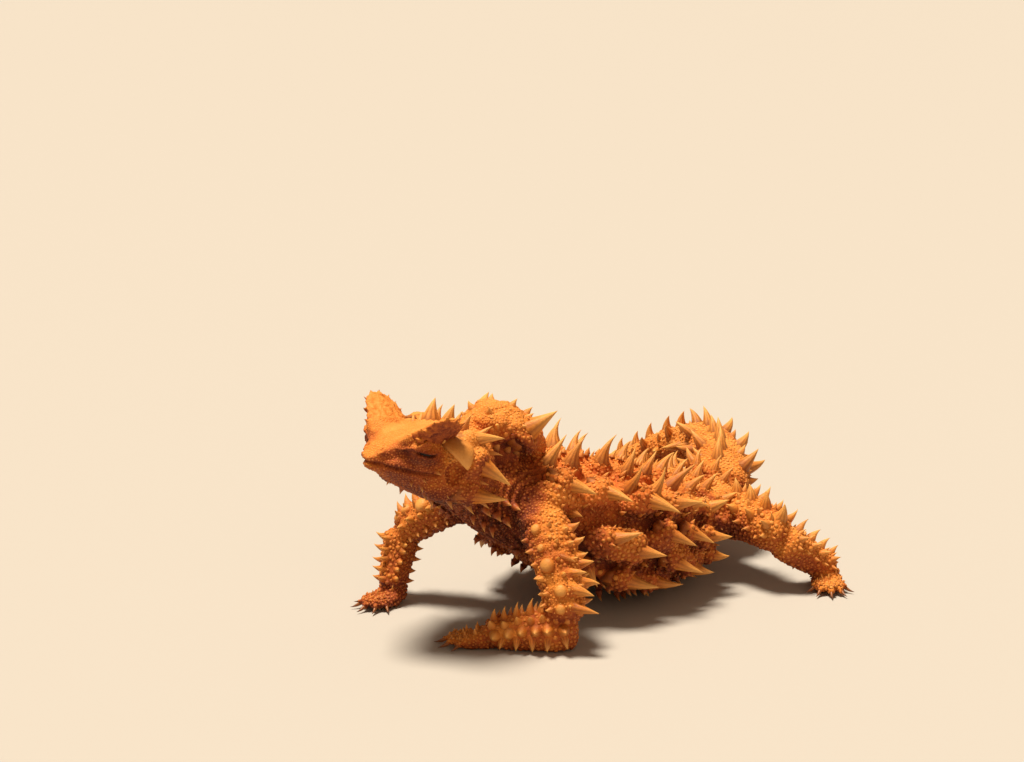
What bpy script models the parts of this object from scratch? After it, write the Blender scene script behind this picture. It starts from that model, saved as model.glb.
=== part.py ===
# A thorny devil, life size, still, as a museum model shows it.
# It props its chest up on both arms, its belly and tail rest low, and its
# head is turned a little to its right. X runs forward, Y to its left, Z up.
import math
import random

import bmesh
import bpy
import numpy as np
from mathutils import Matrix, Vector
from mathutils.bvhtree import BVHTree

MM = 0.001
GAP = 0.0003
SEED = 41
ROOT_DEPTH = 0.75 * MM
CLEARANCE = 0.45 * MM
TIP_FLOOR = 0.35 * MM
FUSE_STEP = 0.004 * MM
DEEPEST = 6.0 * MM
STEP_PAST = 0.001 * MM
LEAST_BENT = 3.0 * MM
WIDE_FOOT = 1.25
FULL_WAIST = 0.6
NEIGHBOUR_REACH = 12.0 * MM

# Body lengths, each row: x, y, z, half width, rise, drop, all in millimetres.
TRUNK_ROWS = (
    (-13.0, 0.0, 13.6, 5.6, 3.8, 4.4),
    (-8.0, 0.0, 13.4, 7.6, 4.4, 8.0),
    (-1.0, 0.0, 12.4, 10.8, 5.8, 11.4),
    (7.0, 0.0, 11.8, 14.2, 8.4, 12.3),
    (15.0, 0.0, 12.6, 16.6, 10.6, 13.2),
    (23.0, 0.0, 14.0, 17.4, 12.2, 13.8),
    (31.0, 0.0, 15.8, 16.4, 12.2, 12.6),
    (39.0, 0.0, 18.6, 13.6, 10.8, 9.4),
    (45.5, 0.0, 22.4, 10.8, 9.6, 9.0),
    (51.0, -0.1, 25.6, 9.2, 8.6, 7.9),
    (56.0, -0.3, 28.6, 8.4, 7.4, 7.4),
    (60.0, -0.6, 31.0, 8.2, 6.8, 7.2),
)
NECK_START_X = 50.0
HEAD_START_X = 56.6

TAIL_ROWS = (
    (-10.0, 0.0, 13.6, 6.4, 4.2, 4.8),
    (-14.6, -2.8, 14.8, 5.4, 4.4, 4.6),
    (-19.2, -8.2, 16.2, 4.7, 4.3, 4.4),
    (-22.8, -15.6, 16.4, 4.4, 4.1, 4.2),
    (-24.0, -24.2, 13.8, 4.1, 3.8, 3.9),
    (-22.8, -32.8, 9.4, 3.7, 3.5, 3.6),
    (-18.8, -40.6, 5.4, 3.3, 3.1, 3.3),
    (-12.4, -47.0, 3.4, 2.8, 2.6, 3.3),
    (-5.2, -51.8, 2.5, 2.2, 2.1, 2.5),
    (1.2, -55.4, 2.0, 1.6, 1.5, 2.0),
    (3.4, -56.6, 1.9, 0.9, 0.9, 1.2),
)
TAIL_CUTS = (0.0, 0.33, 0.66, 1.0)

# The head in its own frame: x forward from the nape, z up, before it is set
# on the neck with these turns.
HEAD_AT = (56.2, 0.3, 31.0)
HEAD_PITCH = math.radians(14.0)
HEAD_YAW = math.radians(-6.0)
HEAD_ROWS = (
    (-1.5, 0.0, 0.4, 7.2, 5.6, 6.6),
    (1.5, 0.0, 0.2, 8.4, 6.4, 7.0),
    (5.0, 0.0, 0.0, 9.2, 6.8, 6.9),
    (8.5, 0.0, 0.0, 9.0, 6.7, 6.1),
    (11.5, 0.0, 0.0, 8.1, 6.1, 5.2),
    (14.5, 0.0, 0.0, 6.6, 4.8, 4.1),
    (16.8, 0.0, -0.2, 4.8, 3.2, 2.9),
    (18.6, 0.0, -0.6, 3.0, 1.8, 1.9),
    (19.5, 0.0, -0.8, 1.6, 0.9, 1.1),
)
MOUTH_HEIGHT = -1.1
MOUTH_BACK = 10.4
EYE_AT = (13.4, 6.5, 2.5)
EYE_RADIUS = 1.5
EYE_ROOM = 1.9
LID_RADII = (3.0, 2.6, 2.5)
EAR_AT = (8.0, 9.5, -0.2)
NOSTRIL_AT = (18.2, 1.9, 1.05)

# Arms and legs, each from its root to its tip.
ARM_LEFT_UPPER = (
    (44.6, 8.0, 21.0, 4.4, 4.6, 4.6),
    (46.6, 12.8, 18.4, 4.1, 4.3, 4.3),
    (48.2, 16.6, 13.8, 3.7, 3.8, 3.8),
    (49.0, 18.9, 9.4, 3.5, 3.6, 3.6),
    (49.3, 19.8, 6.4, 3.2, 3.3, 3.3),
)
ARM_LEFT_LOWER = (
    (48.0, 20.6, 3.9, 2.5, 2.4, 3.3),
    (50.0, 18.4, 3.8, 3.2, 3.1, 4.0),
    (52.8, 15.2, 3.5, 3.2, 2.9, 3.8),
    (55.6, 12.0, 3.0, 2.8, 2.4, 3.2),
    (58.0, 9.2, 2.5, 2.4, 2.0, 2.7),
)
ARM_RIGHT_UPPER = (
    (44.4, -8.0, 21.4, 4.6, 4.6, 4.6),
    (46.6, -12.2, 19.2, 3.9, 4.1, 4.1),
    (48.8, -16.0, 16.6, 3.4, 3.6, 3.6),
    (50.6, -19.2, 14.2, 3.2, 3.3, 3.3),
    (51.6, -20.8, 13.0, 2.6, 2.7, 2.7),
)
ARM_RIGHT_LOWER = (
    (51.8, -20.9, 12.0, 3.0, 3.0, 3.0),
    (52.8, -20.8, 9.2, 2.9, 2.9, 2.9),
    (54.0, -20.4, 6.0, 2.5, 2.5, 2.5),
    (55.2, -19.9, 3.2, 2.2, 2.2, 2.2),
)
LEG_LEFT_UPPER = (
    (-3.4, 6.0, 11.4, 5.2, 5.0, 5.0),
    (-3.2, 11.0, 11.8, 4.7, 4.6, 4.6),
    (-2.6, 16.4, 11.8, 4.1, 4.0, 4.0),
    (-2.2, 21.0, 11.0, 3.7, 3.6, 3.6),
    (-2.4, 23.6, 10.2, 2.9, 2.9, 2.9),
)
LEG_LEFT_LOWER = (
    (-3.0, 24.0, 9.2, 3.2, 3.2, 3.2),
    (-6.0, 25.0, 7.2, 3.1, 3.1, 3.1),
    (-9.4, 26.2, 4.8, 2.7, 2.6, 2.7),
    (-12.2, 27.0, 3.1, 2.4, 2.2, 2.4),
)

SIDES_TRUNK = 18
RINGS_TORSO = 14
RINGS_NECK = 4
SIDES_HEAD = 20
SIDES_TAIL = 9
SIDES_LIMB = 10

# Large spines of the left side: where the foot stands, as x and the angle
# round the section (0 left side, 90 back), then the tip and foot radius.
FRONT_SPINES = (
    (40.7, 58.0, (37.7, 7.9, 34.5), 1.9),
    (34.3, 66.0, (32.2, 7.1, 32.9), 1.8),
    (27.3, 68.0, (24.8, 7.6, 32.0), 1.8),
    (24.3, 58.0, (22.4, 10.0, 29.9), 1.5),
    (18.9, 60.0, (16.7, 9.8, 27.9), 1.5),
    (27.7, 40.0, (26.5, 15.9, 28.4), 1.7),
    (22.6, 38.0, (21.2, 16.3, 27.1), 1.7),
    (15.7, 46.0, (10.8, 14.3, 25.2), 1.8),
    (40.9, 34.0, (37.3, 15.4, 24.8), 2.3),
    (33.6, 36.0, (31.6, 18.8, 23.0), 2.3),
    (26.3, 32.0, (22.6, 21.9, 19.8), 2.4),
    (19.8, 28.0, (15.4, 20.3, 20.0), 2.1),
    (14.2, 30.0, (11.1, 17.9, 18.0), 1.7),
    (40.6, 10.0, (40.0, 14.4, 21.1), 1.3),
    (35.1, -6.0, (31.3, 21.0, 17.9), 2.8),
    (29.6, -8.0, (26.1, 22.0, 12.6), 2.3),
    (22.6, 6.0, (19.1, 22.7, 13.0), 2.1),
    (15.7, 5.0, (12.5, 20.8, 11.7), 1.9),
    (20.3, -16.0, (16.5, 21.9, 7.2), 2.0),
    (37.4, -34.0, (37.1, 15.4, 7.6), 1.8),
    (30.9, -32.0, (26.3, 20.3, 6.3), 2.6),
    (24.2, -33.0, (19.8, 20.1, 5.4), 1.9),
)
# Rows of large spines behind them on both sides: x from, x to, count, angle,
# length from, to, foot radius from, to, then the lean back and up.
TRUNK_SPINES = (
    (12.6, -8.0, 4, 72.0, 4.4, 3.6, 1.5, 1.3, 0.45, 0.0),
    (9.4, -6.0, 3, 48.0, 4.4, 3.6, 1.6, 1.3, 0.60, 0.1),
    (8.6, 1.0, 2, 24.0, 5.0, 4.4, 1.8, 1.5, 0.75, 0.1),
    (9.6, 2.4, 2, -2.0, 5.6, 4.8, 1.8, 1.6, 0.85, 0.0),
    (14.0, 7.0, 2, -24.0, 5.4, 4.8, 1.8, 1.6, 0.90, 0.1),
)
TRUNK_SMALL = (
    (42.0, -6.0, 10, 80.0, 1.8, 0.9),
    (41.5, -6.0, 10, 51.0, 1.9, 0.9),
    (42.0, -2.0, 9, 22.0, 2.2, 1.0),
    (33.0, 1.0, 7, -1.0, 2.4, 1.0),
    (34.0, 4.0, 6, -22.0, 2.2, 1.0),
)
THROAT_SPINES = (49.0, 36.0, 4, -52.0, 1.8, 0.9)


def unit(vector):
    return vector / np.linalg.norm(vector)


class Form:
    """A bent, tapering length of body, read smoothly from its rows."""

    def __init__(self, rows, up=(0.0, 0.0, 1.0), power=2.25, floor=None):
        self.rows = np.array(rows, float) * MM
        self.up = np.array(up, float)
        self.power = power
        self.floor = floor
        self.last = len(rows) - 1
        self.knots = np.linspace(0.0, self.last, 24 * self.last + 1)
        line = np.array([self.row(knot)[:3] for knot in self.knots])
        steps = np.linalg.norm(np.diff(line, axis=0), axis=1)
        self.length = steps.sum()
        self.runs = np.concatenate([[0.0], np.cumsum(steps)]) / self.length
        self.line = line

    def row(self, knot):
        """The centre and sizes at a knot, on a curve through the rows."""
        low = int(min(max(math.floor(knot), 0), self.last - 1))
        part = knot - low
        before = self.rows[max(low - 1, 0)]
        start = self.rows[low]
        end = self.rows[low + 1]
        after = self.rows[min(low + 2, self.last)]
        leave = (end - before) / 2
        arrive = (after - start) / 2
        square = part * part
        cube = square * part
        return ((2 * cube - 3 * square + 1) * start
                + (cube - 2 * square + part) * leave
                + (3 * square - 2 * cube) * end
                + (cube - square) * arrive)

    def knot(self, along):
        return float(np.interp(along, self.runs, self.knots))

    def frame(self, along):
        """The directions ahead, to the side and up at a share of its length."""
        knot = self.knot(along)
        fore = self.row(min(knot + 0.08, self.last))[:3]
        aft = self.row(max(knot - 0.08, 0.0))[:3]
        ahead = unit(fore - aft)
        side = unit(np.cross(self.up, ahead))
        return ahead, side, np.cross(ahead, side)

    def point(self, along, angle, grow=0.0):
        row = self.row(self.knot(along))
        ahead, side, up = self.frame(along)
        across = math.cos(angle)
        upward = math.sin(angle)
        reach = (abs(across) ** self.power
                 + abs(upward) ** self.power) ** (-1 / self.power)
        wide = (row[3] + grow) * reach * across
        tall = ((row[4] if upward > 0 else row[5]) + grow) * reach * upward
        spot = row[:3] + side * wide + up * tall
        if self.floor is not None:
            spot[2] = max(spot[2], self.floor)
        return spot

    def normal(self, along, angle):
        step = 0.01
        low = max(along - step, 0.0)
        high = min(along + step, 1.0)
        run = self.point(high, angle) - self.point(low, angle)
        turn = self.point(along, angle + step) - self.point(along, angle - step)
        return unit(np.cross(turn, run))

    def along_x(self, x):
        """The share of its length where its middle line passes x."""
        xs = self.line[:, 0]
        if xs[0] > xs[-1]:
            return float(np.interp(x, xs[::-1], self.runs[::-1]))
        return float(np.interp(x, xs, self.runs))


def loft(name, form, start, end, rings, sides, grow=0.0, longer=0.0):
    """A closed mesh through even sections of a form."""
    bm = bmesh.new()
    loops = []
    for step in range(rings + 1):
        along = start + (end - start) * step / rings
        slide = np.zeros(3)
        if step == 0:
            slide = form.frame(along)[0] * -longer
        if step == rings:
            slide = form.frame(along)[0] * longer
        loops.append([
            bm.verts.new(form.point(along, 2 * math.pi * turn / sides, grow)
                         + slide)
            for turn in range(sides)
        ])
    for low, high in zip(loops, loops[1:]):
        for turn in range(sides):
            after = (turn + 1) % sides
            bm.faces.new((low[turn], low[after], high[after], high[turn]))
    bm.faces.new(list(reversed(loops[0])))
    bm.faces.new(loops[-1])
    bmesh.ops.triangulate(bm, faces=bm.faces[:])
    return to_object(name, bm)


def to_object(name, bm):
    """Turn a bmesh into an object of the shaping collection."""
    bmesh.ops.recalc_face_normals(bm, faces=bm.faces[:])
    mesh = bpy.data.meshes.new(name)
    bm.to_mesh(mesh)
    bm.free()
    item = bpy.data.objects.new(name, mesh)
    shaping.objects.link(item)
    return item


def thorn(spot, outward, aim, length, radius, sides=5, curl=None,
          waist=0.44, knee=0.40, root=ROOT_DEPTH, flat=1.0):
    """A closed spine: a wide sunken foot, a narrow waist and a bent tip."""
    bm = bmesh.new()
    if waist:
        bmesh.ops.create_cone(bm, cap_ends=True, segments=sides,
                              radius1=radius, radius2=radius * waist,
                              depth=1.0)
        top = max(bm.faces, key=lambda face: face.calc_center_median().z)
        tip = bmesh.ops.poke(bm, faces=[top])["verts"][0]
    else:
        bmesh.ops.create_cone(bm, cap_ends=True, segments=sides,
                              radius1=radius, radius2=0.0, depth=1.0)
        tip = max(bm.verts, key=lambda vert: vert.co.z)
    outward = unit(np.array(outward))
    aim = unit(np.array(aim))
    slide = aim - outward * float(aim @ outward)
    if np.linalg.norm(slide) < 0.05:
        slide = np.cross(outward, (0.0, 1.0, 0.3))
    slide = unit(slide)
    across = np.cross(outward, slide)
    bend = np.zeros(3) if curl is None else np.array(curl)
    stretch = 1.0 + 0.35 * (1.0 - float(aim @ outward))
    tilt = unit(outward + aim * 1.2)
    waist_slide = unit(slide - tilt * float(slide @ tilt))
    for vert in bm.verts:
        x, y, z = vert.co
        if vert is tip:
            place = spot + aim * length + bend
        elif z < 0:
            place = (spot - outward * root + slide * x * stretch
                     + across * y * flat)
        else:
            place = (spot + aim * length * knee - bend * 0.15
                     + waist_slide * x + across * y * flat)
        vert.co = place
    bmesh.ops.triangulate(bm, faces=bm.faces[:])
    return bm


def samples(bm):
    """Points on a spine that tell whether it is clear of other pieces."""
    spots = [np.array(vert.co) for vert in bm.verts]
    for edge in bm.edges:
        start, end = (vert.co for vert in edge.verts)
        for share in (0.25, 0.5, 0.75):
            spots.append(np.array(start.lerp(end, share)))
    return np.array(spots)


def boolean(item, others, operation, solver="EXACT"):
    """Apply one Boolean of a collection of closed meshes to an item."""
    pool = bpy.data.collections.new("pool")
    bpy.context.scene.collection.children.link(pool)
    for other in others:
        pool.objects.link(other)
    modifier = item.modifiers.new("fit", "BOOLEAN")
    modifier.operation = operation
    modifier.operand_type = "COLLECTION"
    modifier.collection = pool
    modifier.solver = solver
    bpy.context.view_layer.update()
    graph = bpy.context.evaluated_depsgraph_get()
    mesh = bpy.data.meshes.new_from_object(item.evaluated_get(graph))
    item.modifiers.clear()
    item.data = mesh
    for other in list(others):
        bpy.data.objects.remove(other)
    bpy.data.collections.remove(pool)


def keep_largest(item):
    """Keep only the closed surface that reaches over the largest box."""
    bm = bmesh.new()
    bm.from_mesh(item.data)
    bmesh.ops.remove_doubles(bm, verts=bm.verts[:], dist=FUSE_STEP)
    bmesh.ops.dissolve_degenerate(bm, edges=bm.edges[:], dist=FUSE_STEP / 4)
    bmesh.ops.triangulate(bm, faces=bm.faces[:])
    waiting = set(bm.faces)
    groups = []
    while waiting:
        seed = waiting.pop()
        group = [seed]
        stack = [seed]
        while stack:
            face = stack.pop()
            for edge in face.edges:
                for other in edge.link_faces:
                    if other in waiting:
                        waiting.discard(other)
                        group.append(other)
                        stack.append(other)
        groups.append(group)
    groups.sort(key=lambda group: -sum(face.calc_area() for face in group))
    spare = [face for group in groups[1:] for face in group]
    if spare:
        bmesh.ops.delete(bm, geom=spare, context="FACES")
        loose = [vert for vert in bm.verts if not vert.link_faces]
        bmesh.ops.delete(bm, geom=loose, context="VERTS")
    bm.to_mesh(item.data)
    bm.free()


class Node:
    """One named solid: its bare body, and the spines it is to carry."""

    def __init__(self, name, item, colour):
        self.name = name
        self.item = item
        self.colour = colour
        self.spines = []
        self.marks = []
        self.spine_trees = []
        self.tree = None

    def settle(self):
        """Finish the bare body and keep a tree of it for clearances."""
        keep_largest(self.item)
        bm = bmesh.new()
        bm.from_mesh(self.item.data)
        self.tree = BVHTree.FromBMesh(bm)
        bm.free()


nodes = {}


def is_inside(tree, spot):
    """Whether a point is within a closed mesh, by the walls a line meets."""
    way = Vector((0.13, 0.29, 0.95)).normalized()
    walls = 0
    while True:
        near, _, _, _ = tree.ray_cast(spot, way)
        if near is None:
            return walls % 2 == 1
        walls += 1
        spot = near + way * STEP_PAST


def is_clear(node, spots, spine_tree, middle):
    """Whether a spine keeps clear of the floor and the other nodes."""
    if spots[:, 2].min() < TIP_FLOOR:
        return False
    for other in nodes.values():
        if other is node:
            continue
        if other.tree.overlap(spine_tree):
            return False
        for place_there, tree_there in other.spine_trees:
            if (np.linalg.norm(place_there - middle) < NEIGHBOUR_REACH
                    and tree_there.overlap(spine_tree)):
                return False
        for spot in spots:
            near, _, _, gap = other.tree.find_nearest(Vector(spot))
            if gap < CLEARANCE:
                return False
            if gap < DEEPEST and is_inside(other.tree, Vector(spot)):
                return False
        if other.marks:
            marks = np.array(other.marks)
            gaps = np.linalg.norm(marks[None, :, :] - spots[:, None, :],
                                  axis=2)
            if gaps.min() < 1.6 * CLEARANCE:
                return False
    return True


def add_spine(node, bm):
    """Give a spine to a node where nothing else is in its way."""
    spots = samples(bm)
    middle = spots.mean(axis=0)
    spine_tree = BVHTree.FromBMesh(bm)
    if not is_clear(node, spots, spine_tree, middle):
        bm.free()
        return False
    node.marks.extend(spots)
    node.spine_trees.append((middle, spine_tree))
    node.spines.append(to_object(node.name + "_spine", bm))
    return True


def place(node, form, along, angle, length, radius, back=0.0, lift=0.0,
          sides=5, curl=0.0, turn=0.0, flat=1.0, waist=0.44):
    """Set one spine on a form, leaning back along it, up, or round it."""
    outward = form.normal(along, angle)
    spot = form.point(along, angle)
    ahead, side, up = form.frame(along)
    rear = -ahead if ahead[0] > -0.2 else ahead
    round_way = np.cross(rear, outward)
    aim = unit(outward + rear * back + np.array((0.0, 0.0, lift))
               + round_way * turn)
    if length * MM < LEAST_BENT:
        waist = 0.0
        if radius < WIDE_FOOT:
            sides = 4
    bm = thorn(spot, outward, aim, length * MM, radius * MM, sides,
               rear * curl * MM, waist, flat=flat)
    return add_spine(node, bm)


def set_on(node, base, tip, foot, sides=5, flat=1.0, curl=(0, 0, 0),
           waist=0.44):
    """Set one spine on a node's nearest surface, aimed at its tip."""
    near, normal, _, _ = node.tree.find_nearest(Vector(base))
    spot = np.array(near)
    reach = np.array(tip) - spot
    length = np.linalg.norm(reach)
    bm = thorn(spot, np.array(normal), reach / length, length, foot * MM,
               sides, np.array(curl) * MM, waist if length > LEAST_BENT else 0.0,
               flat=flat)
    return add_spine(node, bm)


def vary(amount):
    return 1.0 + chance.uniform(-amount, amount)


def ball(name, centre, radii, turn=None, rows=8, sides=12):
    """A closed rounded lump, stretched by its three radii."""
    bm = bmesh.new()
    bmesh.ops.create_uvsphere(bm, u_segments=sides, v_segments=rows, radius=1.0)
    for vert in bm.verts:
        local = np.array(vert.co) * np.array(radii)
        vert.co = centre + (turn @ local if turn is not None else local)
    bmesh.ops.triangulate(bm, faces=bm.faces[:])
    return to_object(name, bm)


def slab(name, low, high, turn, origin):
    """A closed box between two corners of a turned frame."""
    bm = bmesh.new()
    bmesh.ops.create_cube(bm, size=1.0)
    low = np.array(low)
    high = np.array(high)
    for vert in bm.verts:
        local = (low + high) / 2 + np.array(vert.co) * (high - low)
        vert.co = origin + turn @ local
    return to_object(name, bm)


def add_node(name, item, colour):
    item.name = name
    node = Node(name, item, colour)
    node.settle()
    nodes[name] = node
    return node


# The scene starts empty.
for old in list(bpy.data.objects):
    bpy.data.objects.remove(old)
chance = random.Random(SEED)
shaping = bpy.data.collections.new("shaping")
bpy.context.scene.collection.children.link(shaping)
animal = bpy.data.collections.new("thorny_devil")
bpy.context.scene.collection.children.link(animal)

OCHRE = (0.56, 0.33, 0.10)
SAND = (0.66, 0.43, 0.17)
RUST = (0.42, 0.17, 0.06)
DARK = (0.02, 0.015, 0.01)

# The turned frame of the head.
ahead = np.array((math.cos(HEAD_YAW) * math.cos(HEAD_PITCH),
                  math.sin(HEAD_YAW) * math.cos(HEAD_PITCH),
                  math.sin(HEAD_PITCH)))
left = np.array((-math.sin(HEAD_YAW), math.cos(HEAD_YAW), 0.0))
HEAD_TURN = np.column_stack((ahead, left, np.cross(ahead, left)))
HEAD_ORIGIN = np.array(HEAD_AT) * MM


def in_head(x, y, z):
    """A point of the head's own frame, given in millimetres."""
    return HEAD_ORIGIN + HEAD_TURN @ (np.array((x, y, z)) * MM)


def head_rows():
    rows = []
    for x, y, z, wide, rise, drop in HEAD_ROWS:
        rows.append((*(in_head(x, y, z) / MM), wide, rise, drop))
    return rows


trunk = Form(TRUNK_ROWS, floor=0.0)
tail = Form(TAIL_ROWS, floor=0.0)
head = Form(head_rows(), up=HEAD_TURN[:, 2], power=2.5)
forms = {
    "arm_upper_left": Form(ARM_LEFT_UPPER, up=(1.0, 0.0, 0.0)),
    "arm_lower_left": Form(ARM_LEFT_LOWER, floor=0.0),
    "arm_upper_right": Form(ARM_RIGHT_UPPER, up=(1.0, 0.0, 0.0)),
    "arm_lower_right": Form(ARM_RIGHT_LOWER, up=(1.0, 0.0, 0.0)),
    "leg_upper_left": Form(LEG_LEFT_UPPER),
    "leg_lower_left": Form(LEG_LEFT_LOWER, floor=0.0),
}


def mirrored(rows):
    return tuple((x, -y, z, wide, rise, drop)
                 for x, y, z, wide, rise, drop in rows)


forms["leg_upper_right"] = Form(mirrored(LEG_LEFT_UPPER))
forms["leg_lower_right"] = Form(mirrored(LEG_LEFT_LOWER), floor=0.0)

# The trunk is parted from the neck by a thin flat gap.
neck_start = trunk.along_x(NECK_START_X * MM)
gap_share = GAP / trunk.length
torso = add_node("torso", loft("torso", trunk, 0.0, neck_start - gap_share / 2,
                               RINGS_TORSO, SIDES_TRUNK), OCHRE)


def head_body(name, grow=0.0):
    return loft(name, head, 0.0, 1.0, 11, SIDES_HEAD, grow, grow)


neck_item = loft("neck", trunk, neck_start + gap_share / 2, 1.0, RINGS_NECK,
                 SIDES_TRUNK)
boolean(neck_item, [head_body("cutter", GAP)], "DIFFERENCE")
neck = add_node("neck", neck_item, RUST)

# The head: lids and lips are fused on, then the eyes' hollows, the slits
# between the lids, the ears' cups, the nostrils and the jaw are cut away.
head_item = head_body("head")
lumps = []
cuts = []
eyes = {}
for mirror, side_name in ((1, "left"), (-1, "right")):
    eye_x, eye_y, eye_z = EYE_AT
    centre = in_head(eye_x, mirror * eye_y, eye_z)
    lumps.append(ball("lids", centre, np.array(LID_RADII) * MM,
                      HEAD_TURN, 6, 11))
    cuts.append(ball("hollow", centre, np.full(3, EYE_ROOM * MM),
                     HEAD_TURN, 5, 8))
    slit = in_head(eye_x, mirror * (eye_y + 1.7), eye_z - 0.1)
    cuts.append(ball("slit", slit, np.array((2.1, 1.6, 0.42)) * MM,
                     HEAD_TURN, 4, 8))
    eyes[side_name] = ball("eye", centre, np.full(3, EYE_RADIUS * MM),
                           HEAD_TURN, 6, 9)
    ear_x, ear_y, ear_z = EAR_AT
    cuts.append(ball("ear", in_head(ear_x, mirror * ear_y, ear_z),
                     np.array((1.5, 1.2, 2.0)) * MM, HEAD_TURN, 4, 7))
    hole_x, hole_y, hole_z = NOSTRIL_AT
    cuts.append(ball("nostril", in_head(hole_x, mirror * hole_y, hole_z),
                     np.array((0.5, 0.6, 0.45)) * MM, HEAD_TURN, 3, 5))
boolean(head_item, lumps, "UNION")

LIP_STEPS = 6
LIP_RISE = 0.75 * MM


def lip(mirror, height, start_x, end_x):
    """A low band that follows the edge of the mouth."""
    bm = bmesh.new()
    loops = []
    for step in range(LIP_STEPS + 1):
        x = start_x + (end_x - start_x) * step / LIP_STEPS
        along = head.along_x(in_head(x, 0.0, 0.0)[0])
        row = head.row(head.knot(along))
        drop = abs(height - (row[2] - in_head(x, 0, 0)[2]) / MM)
        share = min(drop * MM / row[5], 0.98)
        wide = row[3] * (1 - share ** head.power) ** (1 / head.power)
        ring = []
        for turn in range(4):
            angle = 2 * math.pi * turn / 4
            spot = in_head(x, 0.0, height) + HEAD_TURN[:, 1] * mirror * (
                wide - 0.15 * MM + 0.5 * MM * math.cos(angle))
            spot = spot + HEAD_TURN[:, 2] * LIP_RISE * 0.6 * math.sin(angle)
            ring.append(bm.verts.new(spot))
        loops.append(ring)
    for low, high in zip(loops, loops[1:]):
        for turn in range(4):
            after = (turn + 1) % 4
            bm.faces.new((low[turn], low[after], high[after], high[turn]))
    bm.faces.new(list(reversed(loops[0])))
    bm.faces.new(loops[-1])
    bmesh.ops.triangulate(bm, faces=bm.faces[:])
    return to_object("lip", bm)


boolean(head_item, [lip(1, MOUTH_HEIGHT + 0.62, 10.0, 19.4),
                    lip(-1, MOUTH_HEIGHT + 0.62, 10.0, 19.4)], "UNION")
jaw_low = np.array((MOUTH_BACK, -15.0, -15.0)) * MM
jaw_high = np.array((26.0, 15.0, MOUTH_HEIGHT)) * MM - np.array((0, 0, GAP / 2))
jaw_item = head_body("jaw")
boolean(jaw_item, [slab("keep", jaw_low, jaw_high, HEAD_TURN, HEAD_ORIGIN)],
        "INTERSECT")
cuts.append(slab("mouth", jaw_low - GAP, jaw_high + np.array((0, 0, GAP)),
                 HEAD_TURN, HEAD_ORIGIN))
boolean(head_item, cuts, "DIFFERENCE")
head_node = add_node("head", head_item, OCHRE)
jaw_node = add_node("jaw", jaw_item, OCHRE)
for side_name, item in eyes.items():
    add_node("eye_" + side_name, item, DARK)

# The brow horns are flat blades that rise outward from above the eyes.
HORN_ROWS = (
    (12.0, 4.0, 2.8, 4.3, 1.9, 1.9),
    (12.1, 6.2, 4.8, 4.2, 1.6, 1.6),
    (12.2, 8.2, 6.5, 3.6, 1.2, 1.2),
    (12.1, 10.0, 7.9, 3.2, 0.85, 0.85),
    (11.8, 11.3, 8.9, 1.9, 0.5, 0.5),
)
for mirror, side_name in ((1, "left"), (-1, "right")):
    rows = [(*(in_head(x, mirror * y, z) / MM), wide, rise, drop)
            for x, y, z, wide, rise, drop in HORN_ROWS]
    face_up = HEAD_TURN @ np.array((0.0, 0.66, -0.75 * mirror))
    horn = Form(rows, up=face_up, power=1.8)
    forms["horn_brow_" + side_name] = horn
    item = loft("horn", horn, 0.0, 1.0, 5, 8)
    lid = ball("lids", in_head(EYE_AT[0], mirror * EYE_AT[1], EYE_AT[2]),
               np.array(LID_RADII) * MM + GAP, HEAD_TURN, 6, 11)
    boolean(item, [head_body("cutter", GAP), lid], "DIFFERENCE")
    add_node("horn_brow_" + side_name, item, SAND)

# The lump behind the head, like a second head, sits on neck and shoulders.
HUMP_ROWS = (
    (52.8, -0.2, 34.6, 2.6, 2.4, 3.0),
    (51.0, -0.2, 35.4, 5.0, 4.4, 4.0),
    (48.2, 0.0, 35.4, 6.4, 5.5, 4.6),
    (44.6, 0.0, 34.4, 6.8, 5.4, 4.6),
    (41.4, 0.0, 32.8, 5.8, 4.2, 4.2),
    (38.6, 0.0, 31.4, 3.4, 2.4, 3.4),
)
hump = Form(HUMP_ROWS, up=(0.0, 0.0, 1.0), power=2.1)


def trunk_bodies(grow):
    """The trunk and neck again, a little larger, to cut what meets them."""
    return [loft("cutter", trunk, 0.0, neck_start, RINGS_TORSO, SIDES_TRUNK,
                 grow, grow),
            loft("cutter", trunk, neck_start, 1.0, RINGS_NECK, SIDES_TRUNK,
                 grow, grow)]


item = loft("hump_nape", hump, 0.0, 1.0, 7, 12)
boolean(item, trunk_bodies(GAP) + [head_body("cutter", GAP)], "DIFFERENCE")
hump_node = add_node("hump_nape", item, OCHRE)

# The tail, in three lengths with flat gaps between them.
TAIL_NAMES = ("tail_base", "tail_middle", "tail_tip")
tail_gap = GAP / tail.length
for order, name in enumerate(TAIL_NAMES):
    start = TAIL_CUTS[order] + (tail_gap / 2 if order else 0.0)
    end = TAIL_CUTS[order + 1] - (tail_gap / 2 if order < 2 else 0.0)
    item = loft(name, tail, start, end, 7, SIDES_TAIL)
    if order == 0:
        boolean(item, trunk_bodies(GAP), "DIFFERENCE")
    add_node(name, item, OCHRE)

# Limbs: each length is cut clear of the one that it meets.
LIMB_ORDER = ("arm", "leg")
for limb in LIMB_ORDER:
    for side_name in ("left", "right"):
        lower = forms[limb + "_lower_" + side_name]
        upper = forms[limb + "_upper_" + side_name]
        name = limb + "_lower_" + side_name
        add_node(name, loft(name, lower, 0.0, 1.0, 5, SIDES_LIMB), OCHRE)
        name = limb + "_upper_" + side_name
        item = loft(name, upper, 0.0, 1.0, 6, SIDES_LIMB)
        boolean(item, trunk_bodies(GAP) + [
            loft("cutter", lower, 0.0, 1.0, 5, SIDES_LIMB, GAP, GAP),
        ], "DIFFERENCE")
        add_node(name, item, OCHRE)

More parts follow.
